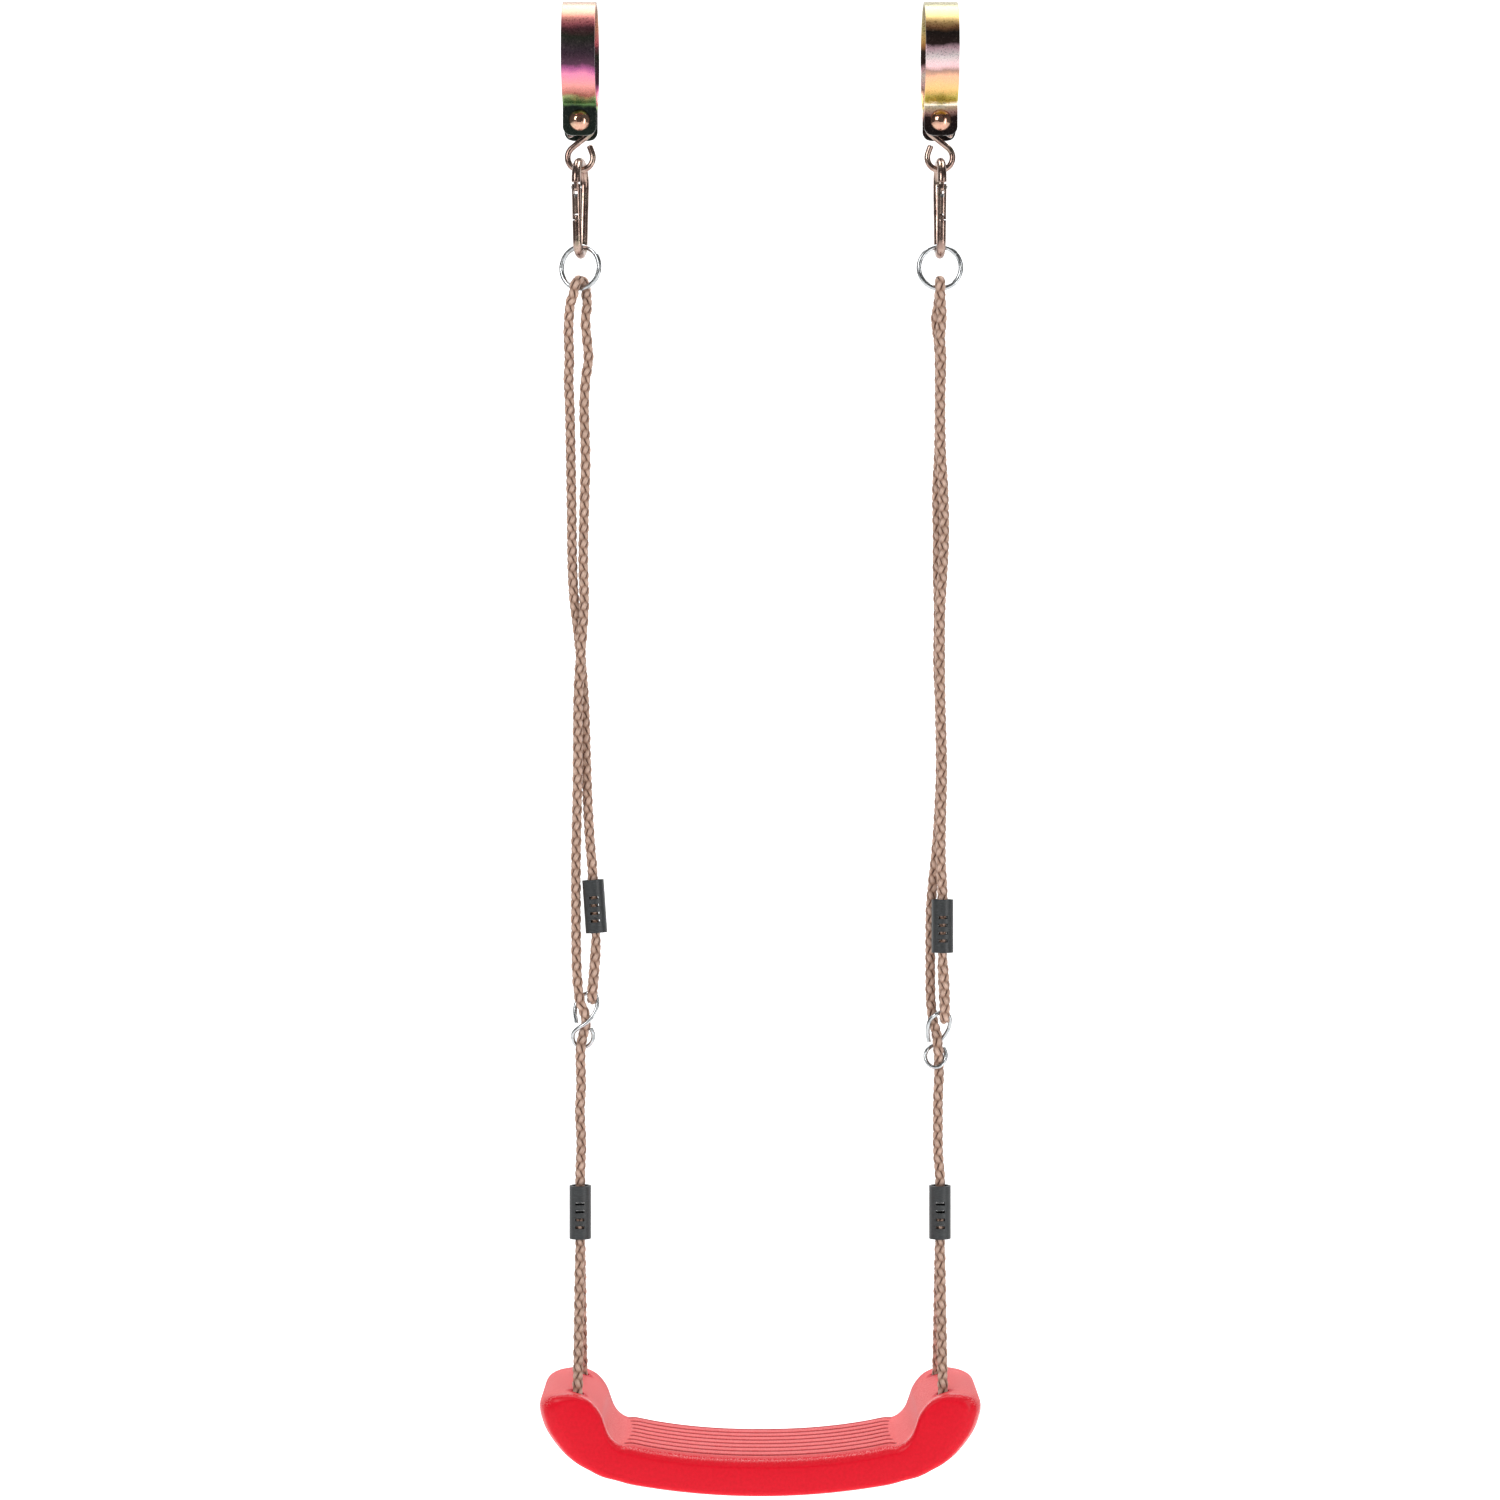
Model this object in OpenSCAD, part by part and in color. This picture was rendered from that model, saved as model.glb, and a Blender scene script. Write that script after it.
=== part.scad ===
// Rope swing for a round beam: two clamp straps, S-hooks, snap hooks and rings
// carry two adjustable ropes, whose lower loops run through the ends of a
// moulded saddle-shaped seat.
// Frame: origin on the beam axis midway between the straps, +X along the beam,
// +Y to the rear of the swing, +Z up. Millimetres.

/* [Hanging] */
// Diameter of the round beam that the straps clamp
beam_d = 100; // [90:1:110]
// Distance between the two hanging lines
line_gap = 356; // [352:1:362]

/* [Strap and bolt] */
// Width of the strap along the beam
strap_w = 33; // [32:1:36]
// Thickness of the strap
strap_t = 3; // [2.5:0.5:3]
// Clear gap between the strap's two ears
ear_gap = 28; // [27:1:29]
// Drop of the ears below the beam's underside
ear_drop = 31; // [30:1:32]
// Diameter of the clamp bolt
bolt_d = 10; // [8:1:10]
// Diameter of the bolt's domed head
bolt_head_d = 21; // [19:1:22]
// Outer diameter of the spacer tube on the bolt
spacer_d = 14; // [13:0.5:14]

/* [S-hook] */
// Wire diameter of the hook
hook_wire = 6; // [5.5:0.5:6]
// Bend radius of the hook's eyes, to the middle of the wire
hook_r = 12.5; // [12.5:0.5:13]

/* [Snap hook] */
// Overall length of the snap hook
snap_len = 100; // [99:1:101]
// Wire diameter of the snap hook
snap_wire = 9; // [8.5:0.5:9]
// Bend radius of the wide upper bow, to the middle of the wire
snap_top_r = 20.5; // [20:0.5:21]
// Bend radius of the narrow lower bow, to the middle of the wire
snap_low_r = 14; // [13:0.5:15]
// Length of the gate between its hinge pin and its latch
gate_len = 31; // [30:1:32]

/* [Ring] */
// Wire diameter of the ring
ring_wire = 5; // [4.5:0.5:5]
// Ring radius to the middle of the wire
ring_r = 20.75; // [20.5:0.25:21]

/* [Rope] */
// Rope diameter
rope_d = 10; // [9.5:0.5:10]
// Number of sides of the rope's plain tube
rope_sides = 10; // [8:1:12]

/* [Sleeves and clips] */
// Outer diameter of the rope sleeves
sleeve_d = 21.5; // [21:0.5:22]
// Bore of the rope sleeves
sleeve_bore = 17.2; // [17:0.2:17.6]
// Length of the rope sleeves
sleeve_len = 52.5; // [52:0.5:53]
// Wire diameter of the length clips
clip_wire = 4; // [3.5:0.5:4]

/* [Seat] */
// Length of the seat across both ends
seat_w = 430; // [428:1:432]
// Front-to-rear depth of the seat
seat_depth = 160; // [158:1:162]
// Thickness of the seat at its middle
seat_t = 38; // [37:1:39]
// Height of the ends above the middle of the seat
end_rise = 59; // [58:1:60]
// Front-to-rear distance between the two rope holes of an end
hole_gap = 104; // [102:1:106]
// Diameter of the rope holes
hole_d = 12.4; // [12:0.2:13]
// Wall thickness of the hollow moulding
seat_wall = 3; // [2.5:0.5:4]

/* [Hidden] */
$fn = 64;

side_x = line_gap / 2;
zinc_yellow = [0.83, 0.66, 0.55];
zinc_bright = [0.78, 0.81, 0.84];
rope_tan = [0.78, 0.55, 0.42];
seat_red = [0.93, 0.12, 0.16];
sleeve_black = [0.16, 0.17, 0.18];

// Clearance where one link hangs in the next
link_gap = 0.3;
// Clearance where the turned ring hangs in the snap hook
ring_gap = 0.5;

beam_r = beam_d / 2;
ear_in = ear_gap / 2;
ear_out = ear_in + strap_t;
ear_bottom = -beam_r - ear_drop;
ear_corner_r = 9;
ear_bend_r = 4;
bolt_z = -66;
bolt_clear = 0.2;
washer_d = 20;
washer_t = 2;
nut_flats = 17;
nut_t = 8;

// Heights of the hanging links, each worked out from the one above
hook_pin_z = bolt_z + spacer_d / 2 + link_gap + hook_wire / 2;
hook_top_z = hook_pin_z - hook_r;
hook_drop = 31.9;
hook_low_z = hook_top_z - hook_drop;
snap_pin_z = hook_low_z - hook_r;
snap_top_z = snap_pin_z + hook_wire / 2 + link_gap + snap_wire;
snap_low_z = snap_top_z - snap_len;
ring_pin_z = snap_low_z + snap_wire + ring_gap + ring_wire / 2;
ring_z = ring_pin_z - ring_r;
left_snap_turn = -9;
right_snap_turn = 3;
left_ring_turn = -24;
right_ring_turn = 0;

// Snap hook, drawn in its own plane: x towards the rear, y up
snap_upper_y = snap_top_z - snap_wire / 2 - snap_top_r;
snap_lower_y = snap_low_z + snap_wire / 2 + snap_low_r;
snap_lean = asin((snap_top_r - snap_low_r) / (snap_upper_y - snap_lower_y));
gate_pin_drop = 5;
gate_pin_d = 3;
gate_slot = 4.4;
gate_gap = 0.3;
tongue_t = 3.8;
tongue_len = 9;
nose_t = 3.6;
nose_len = 5;

// Rope sleeves
upper_sleeve_z = [-815, -834];
lower_sleeve_top = -1117.5;
lower_sleeve_bottom = lower_sleeve_top - sleeve_len;
window_rows = [17.5, 25.2, 33, 40.6];
window_w = 9;
window_h = 2.8;
left_sleeve_tilt = 3.9;

// Seat
seat_mid_z = -1371.5;
seat_low_z = seat_mid_z - seat_t;
end_top_z = seat_mid_z + end_rise;
hole_y = hole_gap / 2;
hole_x = side_x;
channel_top_z = -1360;
channel_w = 11.4;
drain_d = 8;
edge_r = 7;
plan_r = 30;

// ---------- routes of the ropes ----------
// Each point is [x from the hanging line, y, z, radius of the rope there].
rope_r = rope_d / 2;
tight_r = 4.1;
bight_z = ring_z - ring_r;

left_eye = [
  [13.3, 4.2, -829, tight_r], [15.2, 4.2, -866, tight_r], [15.0, 8.0, -884, rope_r],
  [13.4, 9.4, -908, rope_r], [12.2, 9.2, -922, rope_r], [11.8, 7.2, -930, rope_r],
  [11.6, 2.0, -934, rope_r], [11.8, -3.2, -930, rope_r], [12.2, -5.2, -922, rope_r],
  [13.8, -5.8, -904, rope_r], [15.2, -5.2, -884, rope_r], [15.4, -4.2, -866, tight_r],
  [13.3, -4.2, -829, tight_r], [12.5, -1.0, -816, rope_r]];
left_end_strand = [
  [11.6, 0, -800, rope_r], [9.4, 1.5, -776, rope_r], [7.2, 4, -740, rope_r],
  [5.6, 5.4, -700, rope_r], [3.6, 6, -640, rope_r], [0.6, 6, -600, rope_r],
  [-3, 5, -565, rope_r], [-6.4, 2.2, -535, rope_r], [-8, 0, -500, rope_r],
  [-8.6, 0, -450, rope_r], [-9.4, 0, -400, rope_r], [-10.4, 0, -350, rope_r],
  [-11.6, 0, -320, rope_r], [-10.8, -1, -300, rope_r], [-11.6, -2, -270, rope_r],
  [-9.8, -4, -246, rope_r]];
left_bight = [
  [-6.6, -6.4, -237, rope_r], [-5.2, -7.2, -229, rope_r], [-3.6, -5, -223.6, rope_r],
  [0, 0, -221.6, rope_r], [3.6, 5, -223.6, rope_r], [5.2, 7.2, -229, rope_r],
  [5.8, 6.4, -237, rope_r]];
left_main_strand = [
  [6.6, 3.5, -246, rope_r], [5, 1.5, -262, rope_r], [6.8, 1, -282, rope_r],
  [8, 1, -300, rope_r], [5.2, 1, -320, rope_r], [3.8, 0, -350, rope_r],
  [5.2, 0, -400, rope_r], [3.8, 0, -450, rope_r], [3, -1, -500, rope_r],
  [4, -3, -540, rope_r], [2.2, -4.9, -572, rope_r], [0, -5.4, -600, rope_r],
  [-2, -5.4, -640, rope_r], [-2.4, -4.8, -700, rope_r], [-3, -3.4, -740, rope_r],
  [-4, -1, -780, rope_r], [-4.4, 0, -815, rope_r], [-4.2, 0, -870, rope_r],
  [-3.4, -2, -905, rope_r], [-1.6, -4.4, -925, rope_r], [0.4, -5, -936, rope_r],
  [3, -3.4, -943, rope_r], [5, -0.4, -950, rope_r], [5.4, 2.6, -957, rope_r],
  [4, 2.6, -964, rope_r], [2, 0, -972, rope_r], [0.6, -3, -981, rope_r],
  [0.2, -2.4, -991, rope_r], [0.8, 0, -1020, rope_r], [-0.4, 0, -1045, rope_r],
  [1, 0, -1075, rope_r], [0, 0, -1105, rope_r], [0, 0, -1130, rope_r]];

right_eye = [
  [2, -4.8, -848, tight_r], [2, -4.8, -885, tight_r], [2.6, -0.6, -903, rope_r],
  [4, 4.4, -928, rope_r], [4.6, 5.4, -941, rope_r], [4.6, 3.2, -949, rope_r],
  [4.5, -2, -953, rope_r], [4.4, -7.2, -949, rope_r], [4.4, -9.2, -941, rope_r],
  [4.2, -10.6, -923, rope_r], [2.8, -13, -903, rope_r], [2, -13.2, -885, tight_r],
  [2, -13.2, -848, tight_r], [2, -9.8, -835, rope_r]];
right_end_strand = [
  [1.8, -8.4, -819, rope_r], [0.6, -7, -795, rope_r], [0.8, -6, -760, rope_r],
  [2, -5.4, -705, rope_r], [0.4, -5.4, -640, rope_r], [0, -5.4, -600, rope_r],
  [0.2, -5.6, -550, rope_r], [2.4, -5.4, -510, rope_r], [4, -5, -475, rope_r],
  [3.2, -5, -430, rope_r], [0.8, -5.8, -390, rope_r], [0.2, -6, -340, rope_r],
  [1.2, -6.4, -300, rope_r], [0, -7, -280, rope_r], [1.4, -7.4, -260, rope_r],
  [0.6, -8, -245, rope_r]];
right_bight = [
  [0, -8.6, -237, rope_r], [0, -8.3, -229, rope_r], [0, -5.8, -223.8, rope_r],
  [0, 0, -221.6, rope_r], [0, 5.8, -223.8, rope_r], [0, 8.3, -229, rope_r],
  [-0.4, 8.6, -237, rope_r]];
right_main_strand = [
  [-1.2, 8, -245, rope_r], [-3.6, 7.4, -260, rope_r], [-1.2, 7, -280, rope_r],
  [0, 6.4, -300, rope_r], [0, 6, -340, rope_r], [-0.6, 5.8, -390, rope_r],
  [-2.6, 5.2, -430, rope_r], [-2, 5.2, -475, rope_r], [-2, 5.4, -510, rope_r],
  [-1, 5.4, -550, rope_r], [-1.6, 5.4, -600, rope_r], [0, 5.4, -640, rope_r],
  [1, 5.2, -705, rope_r], [-1, 5.2, -755, rope_r], [-3.6, 5.4, -790, rope_r],
  [-7, 5.6, -822, rope_r], [-9, 5.8, -850, rope_r], [-9.2, 5.8, -900, rope_r],
  [-9, 5.8, -930, rope_r], [-8, 5.4, -943, rope_r], [-6.6, 5, -955, rope_r],
  [-4.6, 3.4, -962, rope_r], [-3.2, 0.4, -969, rope_r], [-2.4, -2.6, -976, rope_r],
  [-1.8, -2.6, -983, rope_r], [-1.2, 0, -991, rope_r], [-0.8, 3, -1000, rope_r],
  [-0.8, 2.4, -1010, rope_r], [-1.8, 0.6, -1030, rope_r], [-2, 0, -1055, rope_r],
  [-1.8, 0, -1085, rope_r], [0, 0, -1108, rope_r], [0, 0, -1130, rope_r]];

seat_loop = [
  [0, -6.4, -1176, rope_r], [0, -15, -1200, rope_r], [0, -31, -1250, rope_r],
  [0, -46, -1295, rope_r], [0, -51, -1307, rope_r], [0, -52, -1318, rope_r],
  [0, -52, -1356, rope_r], [0, -50, -1365, rope_r], [0, -43, -1370, rope_r],
  [0, 0, -1371, rope_r],
  [0, 43, -1370, rope_r], [0, 50, -1365, rope_r], [0, 52, -1356, rope_r],
  [0, 52, -1318, rope_r], [0, 51, -1307, rope_r], [0, 46, -1295, rope_r],
  [0, 31, -1250, rope_r], [0, 15, -1200, rope_r], [0, 6.4, -1176, rope_r]];

// Wire of a length clip: [x from the hanging line, y, z]
clip_route = [
  [-3.6, -1.5, -957], [-4.8, -1, -950], [-5, 0.5, -942], [-3, 2, -935], [1.5, 3, -930],
  [7, 2.6, -927.4], [12, 2, -927], [15.6, 1, -930], [17, 0, -936.5], [15.4, -1.5, -944],
  [11, -3, -951.5], [5, -4.4, -957.5], [-1.6, -3.6, -961.5], [-6.2, -1.5, -966],
  [-7.4, 0.5, -971.5], [-5.2, 2.6, -977.5], [0.4, 4.4, -981.2], [6.8, 4, -980],
  [11.6, 2, -975], [12.8, 0.6, -968.5], [10.6, -0.4, -962]];
right_clip_shift = [-7, 0, -19];

// ---------- swept tube ----------
function unit(v) = v / norm(v);
function xyz(p) = [p[0], p[1], p[2]];
function heading(pts, i) =
  unit(xyz(pts[min(i + 1, len(pts) - 1)]) - xyz(pts[max(i - 1, 0)]));
function across(n, t) = unit(n - (n * t) * t);
function normals(pts, i, n) =
  i == len(pts) ? [] :
  let (m = across(n, heading(pts, i))) concat([m], normals(pts, i + 1, m));
function ring_points(pts, start, sides) =
  let (ns = normals(pts, 0, start))
  [for (i = [0:len(pts) - 1])
    let (t = heading(pts, i), n = ns[i], b = cross(t, n))
    for (k = [0:sides - 1])
      xyz(pts[i]) + pts[i][3] * (cos(360 * k / sides) * n + sin(360 * k / sides) * b)];

module swept_tube(pts, sides, start = [1, 0.02, 0]) {
  last = (len(pts) - 1) * sides;
  walls = [for (i = [0:len(pts) - 2], k = [0:sides - 1])
    let (a = i * sides + k, b = i * sides + (k + 1) % sides)
    each [[a, b + sides, b], [a, a + sides, b + sides]]];
  first_cap = [[for (k = [0:sides - 1]) k]];
  last_cap = [[for (k = [0:sides - 1]) last + sides - 1 - k]];
  polyhedron(ring_points(pts, start, sides), concat(walls, first_cap, last_cap));
}

function with_radius(pts, r) = [for (p = pts) [p[0], p[1], p[2], r]];

// ---------- strap, bolt and spacer ----------
module strap_profile() {
  fillet_x = ear_out + ear_bend_r;
  band_r = beam_r + strap_t;
  fillet_y = -sqrt(pow(band_r + ear_bend_r, 2) - fillet_x * fillet_x);
  touch = [fillet_x, fillet_y] * band_r / (band_r + ear_bend_r);
  difference() {
    union() {
      difference() {
        circle(r = band_r, $fn = 180);
        translate([-ear_out, -band_r - 1]) square([2 * ear_out, 12]);
      }
      for (side = [-1, 1]) scale([side, 1]) {
        translate([ear_in, ear_bottom]) square([strap_t, -ear_bottom - beam_r + 4]);
        difference() {
          polygon([[ear_out - 1, fillet_y], [fillet_x, fillet_y], touch,
            [touch[0], touch[1] + 1], [ear_out - 1, touch[1] + 1]]);
          translate([fillet_x, fillet_y]) circle(r = ear_bend_r);
        }
      }
    }
    circle(r = beam_r, $fn = 180);
    translate([-ear_in, -band_r - 8]) square([2 * ear_in, 20]);
  }
}

module ear_outline() {
  half = strap_w / 2;
  translate([-half, ear_bottom + ear_corner_r])
    square([strap_w, beam_r + strap_t - ear_bottom]);
  translate([-half + ear_corner_r, ear_bottom])
    square([strap_w - 2 * ear_corner_r, ear_corner_r + 1]);
  for (side = [-1, 1])
    translate([side * (half - ear_corner_r), ear_bottom + ear_corner_r])
      circle(r = ear_corner_r);
}

module strap(x) color([0.80, 0.55, 0.50]) translate([x, 0, 0]) difference() {
  intersection() {
    rotate([90, 0, 90]) translate([0, 0, -strap_w / 2])
      linear_extrude(strap_w) strap_profile();
    rotate([90, 0, 0]) translate([0, 0, -beam_r - strap_t - 1])
      linear_extrude(2 * (beam_r + strap_t + 1)) ear_outline();
  }
  translate([0, 0, bolt_z]) rotate([90, 0, 0])
    cylinder(d = bolt_d + 2 * bolt_clear, h = 60, center = true);
}

module bolt(x) color(zinc_yellow) translate([x, 0, bolt_z]) rotate([90, 0, 0]) {
  shank = ear_out + washer_t + nut_t + 3;
  head_h = 6;
  dome_r = (pow(bolt_head_d / 2, 2) + head_h * head_h) / (2 * head_h);
  translate([0, 0, -shank]) cylinder(d = bolt_d, h = shank + ear_out);
  difference() {
    intersection() {
      translate([0, 0, ear_out + head_h - dome_r]) sphere(r = dome_r);
      translate([0, 0, ear_out]) cylinder(d = bolt_head_d, h = head_h + 1);
    }
    translate([0, 0, ear_out + 2.4]) cylinder(d = 7, h = head_h, $fn = 6);
  }
}

module washer(x) color(zinc_yellow) translate([x, ear_out, bolt_z]) rotate([-90, 0, 0])
  difference() {
    cylinder(d = washer_d, h = washer_t);
    translate([0, 0, -1]) cylinder(d = bolt_d + 2 * bolt_clear, h = washer_t + 2);
  }

module nut(x) color(zinc_yellow)
  translate([x, ear_out + washer_t, bolt_z]) rotate([-90, 0, 0]) difference() {
    cylinder(d = nut_flats / cos(30), h = nut_t, $fn = 6);
    translate([0, 0, -1]) cylinder(d = bolt_d, h = nut_t + 2);
  }

module spacer_tube(x) color(zinc_bright) translate([x, 0, bolt_z]) rotate([90, 0, 0])
  difference() {
    cylinder(d = spacer_d, h = ear_gap, center = true);
    cylinder(d = bolt_d + 2 * bolt_clear, h = ear_gap + 2, center = true);
  }

// ---------- wire shapes, drawn in the x-z plane ----------
function on_circle(c, r, a) = c + r * [cos(a), sin(a)];
function arc_path(c, r, from, to, steps) =
  [for (i = [0:steps]) on_circle(c, r, from + (to - from) * i / steps)];
function wire_path(path, wire) = [for (p = path) [p[0], 0, p[1], wire / 2]];

// Half of an S-hook, from its tip round the eye to the crossing
function hook_half(c) =
  let (bend = asin(2 * hook_r / hook_drop), tip_turn = 20, tip_len = 8,
       tip_from = on_circle(c, hook_r, 180 + tip_turn))
  concat([tip_from + tip_len * [sin(tip_turn), -cos(tip_turn)]],
    arc_path(c, hook_r, 180 + tip_turn, -bend, 24));

module s_hook(x, flip) color(zinc_yellow) translate([x, 0, 0]) mirror([flip, 0, 0]) {
  upper = hook_half([0, hook_top_z]);
  sum_z = hook_top_z + hook_low_z;
  lower = [for (i = [len(upper) - 1:-1:0]) [-upper[i][0], sum_z - upper[i][1]]];
  swept_tube(wire_path(concat(upper, lower), hook_wire), 16, [0, 1, 0.02]);
}

// ---------- snap hook ----------
// The gate side is at negative y of the swing; the plane is turned about z.
snap_up = [0, snap_upper_y];
snap_dn = [0, snap_lower_y];
function gate_side(c, r) = on_circle(c, r, 180 + snap_lean);
gate_dir = unit(gate_side(snap_dn, snap_low_r) - gate_side(snap_up, snap_top_r));
gate_pin = gate_side(snap_up, snap_top_r) + gate_pin_drop * gate_dir;
latch = gate_pin + gate_len * gate_dir;
body_stop = gate_side(snap_up, snap_top_r) + 0.4 * gate_dir;

module in_gate_line(p) translate([p[0], 0, p[1]])
  rotate([0, 180 - atan2(gate_dir[0], -gate_dir[1]), 0]) children();

module snap_place(x, turn) translate([x, 0, 0]) rotate([0, 0, 90 + turn]) children();

module snap_hook_body(x, turn) color(zinc_yellow) snap_place(x, turn) {
  path = concat(
    arc_path(snap_up, snap_top_r, 180 + snap_lean, -snap_lean, 18),
    arc_path(snap_dn, snap_low_r, -snap_lean, -180 + snap_lean, 16),
    [latch + 1.2 * gate_dir]);
  swept_tube(wire_path(path, snap_wire), 16, [0, 1, 0.02]);
  difference() {
    in_gate_line(body_stop - 4 * gate_dir) intersection() {
      cylinder(d = snap_wire - 0.6, h = tongue_len + 3.6);
      translate([-snap_wire, -tongue_t / 2, 0])
        cube([2 * snap_wire, tongue_t, tongue_len + 3.6]);
    }
    in_gate_line(gate_pin) rotate([90, 0, 0])
      cylinder(d = gate_pin_d, h = 3 * snap_wire, center = true);
  }
  in_gate_line(latch + 5 * gate_dir) mirror([0, 0, 1]) intersection() {
    cylinder(d = snap_wire - 0.6, h = nose_len + 3.8);
    translate([-snap_wire / 2, -nose_t / 2, 0])
      cube([snap_wire, nose_t, nose_len + 3.8]);
  }
}

module gate_pin(x, turn) color(zinc_bright) snap_place(x, turn) in_gate_line(gate_pin)
  rotate([90, 0, 0]) cylinder(d = gate_pin_d, h = snap_wire + 1.6, center = true);

module snap_gate(x, turn) color(zinc_yellow) snap_place(x, turn) difference() {
  in_gate_line(gate_pin - 3 * gate_dir) cylinder(d = snap_wire, h = gate_len + 3.3);
  in_gate_line(gate_pin - 5 * gate_dir)
    translate([-snap_wire, -gate_slot / 2, 0]) cube([2 * snap_wire, gate_slot, 15]);
  in_gate_line(latch - 5.2 * gate_dir)
    translate([-snap_wire, -gate_slot / 2, 0]) cube([2 * snap_wire, gate_slot, 8]);
  in_gate_line(gate_pin) rotate([90, 0, 0])
    cylinder(d = gate_pin_d + 0.1, h = 3 * snap_wire, center = true);
}

module gate_spring(x, turn) color(zinc_bright) snap_place(x, turn)
  in_gate_line(gate_pin + 6.4 * gate_dir)
    translate([-3, -gate_slot / 2 + 0.4, 0]) {
      cube([0.8, gate_slot - 0.8, 3.6]);
      cube([5.2, gate_slot - 0.8, 0.8]);
    }

// ---------- ring ----------
module ring(x, turn) color(zinc_bright) translate([x, 0, ring_z]) rotate([0, 0, turn])
  rotate([90, 0, 0]) rotate_extrude($fn = 96) translate([ring_r, 0])
    circle(d = ring_wire, $fn = 32);

// ---------- ropes ----------
module rope(x, eye, end_strand, bight, main_strand) color(rope_tan) translate([x, 0, 0])
  swept_tube(concat(eye, end_strand, bight, main_strand), rope_sides);

module seat_rope(x) color(rope_tan) translate([x, 0, 0]) swept_tube(seat_loop, rope_sides);

// ---------- sleeves and clips ----------
// Mouth at the origin, body hanging down
module sleeve_shape() difference() {
  translate([0, 0, -sleeve_len]) cylinder(d = sleeve_d, h = sleeve_len);
  translate([0, 0, -sleeve_len - 1]) cylinder(d = sleeve_bore, h = sleeve_len + 2);
  for (drop = window_rows)
    translate([-window_w / 2, -sleeve_d, -drop - window_h / 2])
      cube([window_w, 2 * sleeve_d, window_h]);
}

module upper_sleeve(x, y, z, tilt) color(sleeve_black)
  translate([x, y, z]) rotate([0, -tilt, 0]) sleeve_shape();

module lower_sleeve(x) color(sleeve_black) translate([x, 0, lower_sleeve_top]) sleeve_shape();

module length_clip(x, shift, flip) color(zinc_bright) translate([x, 0, 0] + shift)
  mirror([0, flip, 0]) swept_tube(with_radius(clip_route, clip_wire / 2), 10, [0, 1, 0.02]);

// ---------- seat ----------
// Half of the side outline in the x-z plane, from the middle of the underside
// round the end to the middle of the top.
low_arc_r = 700;
function low_arc(x) = seat_low_z + low_arc_r - sqrt(low_arc_r * low_arc_r - x * x);
function top_curve(x) = seat_mid_z + 12.6 * pow(x / 128, 2.2);
// The end's curve, measured from the seat's outermost line and the top of the end
end_curve = [
  [-59.5, -78], [-44, -70.8], [-37, -67.3], [-30, -62.9], [-23, -57.1], [-16.5, -50],
  [-10.5, -42], [-5.5, -33.5], [-2, -24], [0, -15], [-0.6, -8], [-3.8, -2.8], [-9, 0],
  [-16, 1.4], [-23, 2], [-31, 1.6], [-39, -0.6], [-47, -4.6], [-54, -11], [-59.5, -19],
  [-63, -28], [-67, -37], [-73.5, -43.6], [-81.5, -47.2]];
function half_outline() = concat(
  [for (x = [0:18:126]) [x, low_arc(x)]],
  [[140, low_arc(140) + 1]],
  [for (p = end_curve) [seat_w / 2 + p[0], end_top_z + p[1]]],
  [for (x = [124:-15.5:0]) [x, top_curve(x)]]);
half = half_outline();
outline = concat(half, [for (i = [len(half) - 2:-1:1]) [-half[i][0], half[i][1]]]);

function turn_in(pts, i) =
  let (n = len(pts), t = unit(pts[(i + 1) % n] - pts[(i + n - 1) % n])) [-t[1], t[0]];
// Distance that the outline is drawn in at depth y, for the rounded front and rear edges
function edge_in(y) =
  let (d = max(0, abs(y) - (seat_depth / 2 - edge_r)))
  edge_r - sqrt(max(0, edge_r * edge_r - d * d));
// Distance that the ends are drawn in at depth y, for the rounded corners in plan
function plan_in(y) =
  let (d = max(0, abs(y) - (seat_depth / 2 - plan_r)))
  plan_r - sqrt(max(0, plan_r * plan_r - d * d));
function end_share(x) = pow(min(1, max(0, (abs(x) - 120) / 80)), 1.5);
seat_slices = [-1, -0.985, -0.945, -0.89, -0.8, -0.68, -0.5, 0, 0.5, 0.68, 0.8, 0.89,
  0.945, 0.985, 1];

// One point of the skin that lies inset below the outer one
function slice_point(i, share, inset) =
  let (y = share * seat_depth / 2, p = outline[i], n = turn_in(outline, i),
       q = p + (inset + edge_in(y) * 0.85) * n,
       s = sign(p[0]) * plan_in(y) * 0.5 * end_share(p[0]))
  [q[0] - s, y - share * inset, q[1]];

// An end face as a strip between the underside and the top, right half then left half
function cap_faces(count, base) =
  let (n = len(half), mid = floor((n - 1) / 2))
  [for (side = [0, 1], j = [0:mid - 1])
    let (pick = [j, j + 1, n - 2 - j, n - 1 - j],
         q = [for (k = pick) base + (side == 0 || k == 0 || k == n - 1 ? k : count - k)],
         f = [[q[0], q[1], q[2]], [q[0], q[2], q[3]]])
    each [for (t = f) if (t[0] != t[1] && t[1] != t[2] && t[0] != t[2])
      side == 0 ? t : [t[2], t[1], t[0]]]];

module seat_body(inset) {
  count = len(outline);
  rows = len(seat_slices);
  points = [for (s = seat_slices, i = [0:count - 1]) slice_point(i, s, inset)];
  walls = [for (r = [0:rows - 2], i = [0:count - 1])
    let (a = r * count + i, b = r * count + (i + 1) % count)
    each [[a, b, b + count], [a, b + count, a + count]]];
  front_cap = [for (f = cap_faces(count, 0)) [f[2], f[1], f[0]]];
  rear_cap = cap_faces(count, (rows - 1) * count);
  polyhedron(points, concat(walls, front_cap, rear_cap));
}

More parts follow.
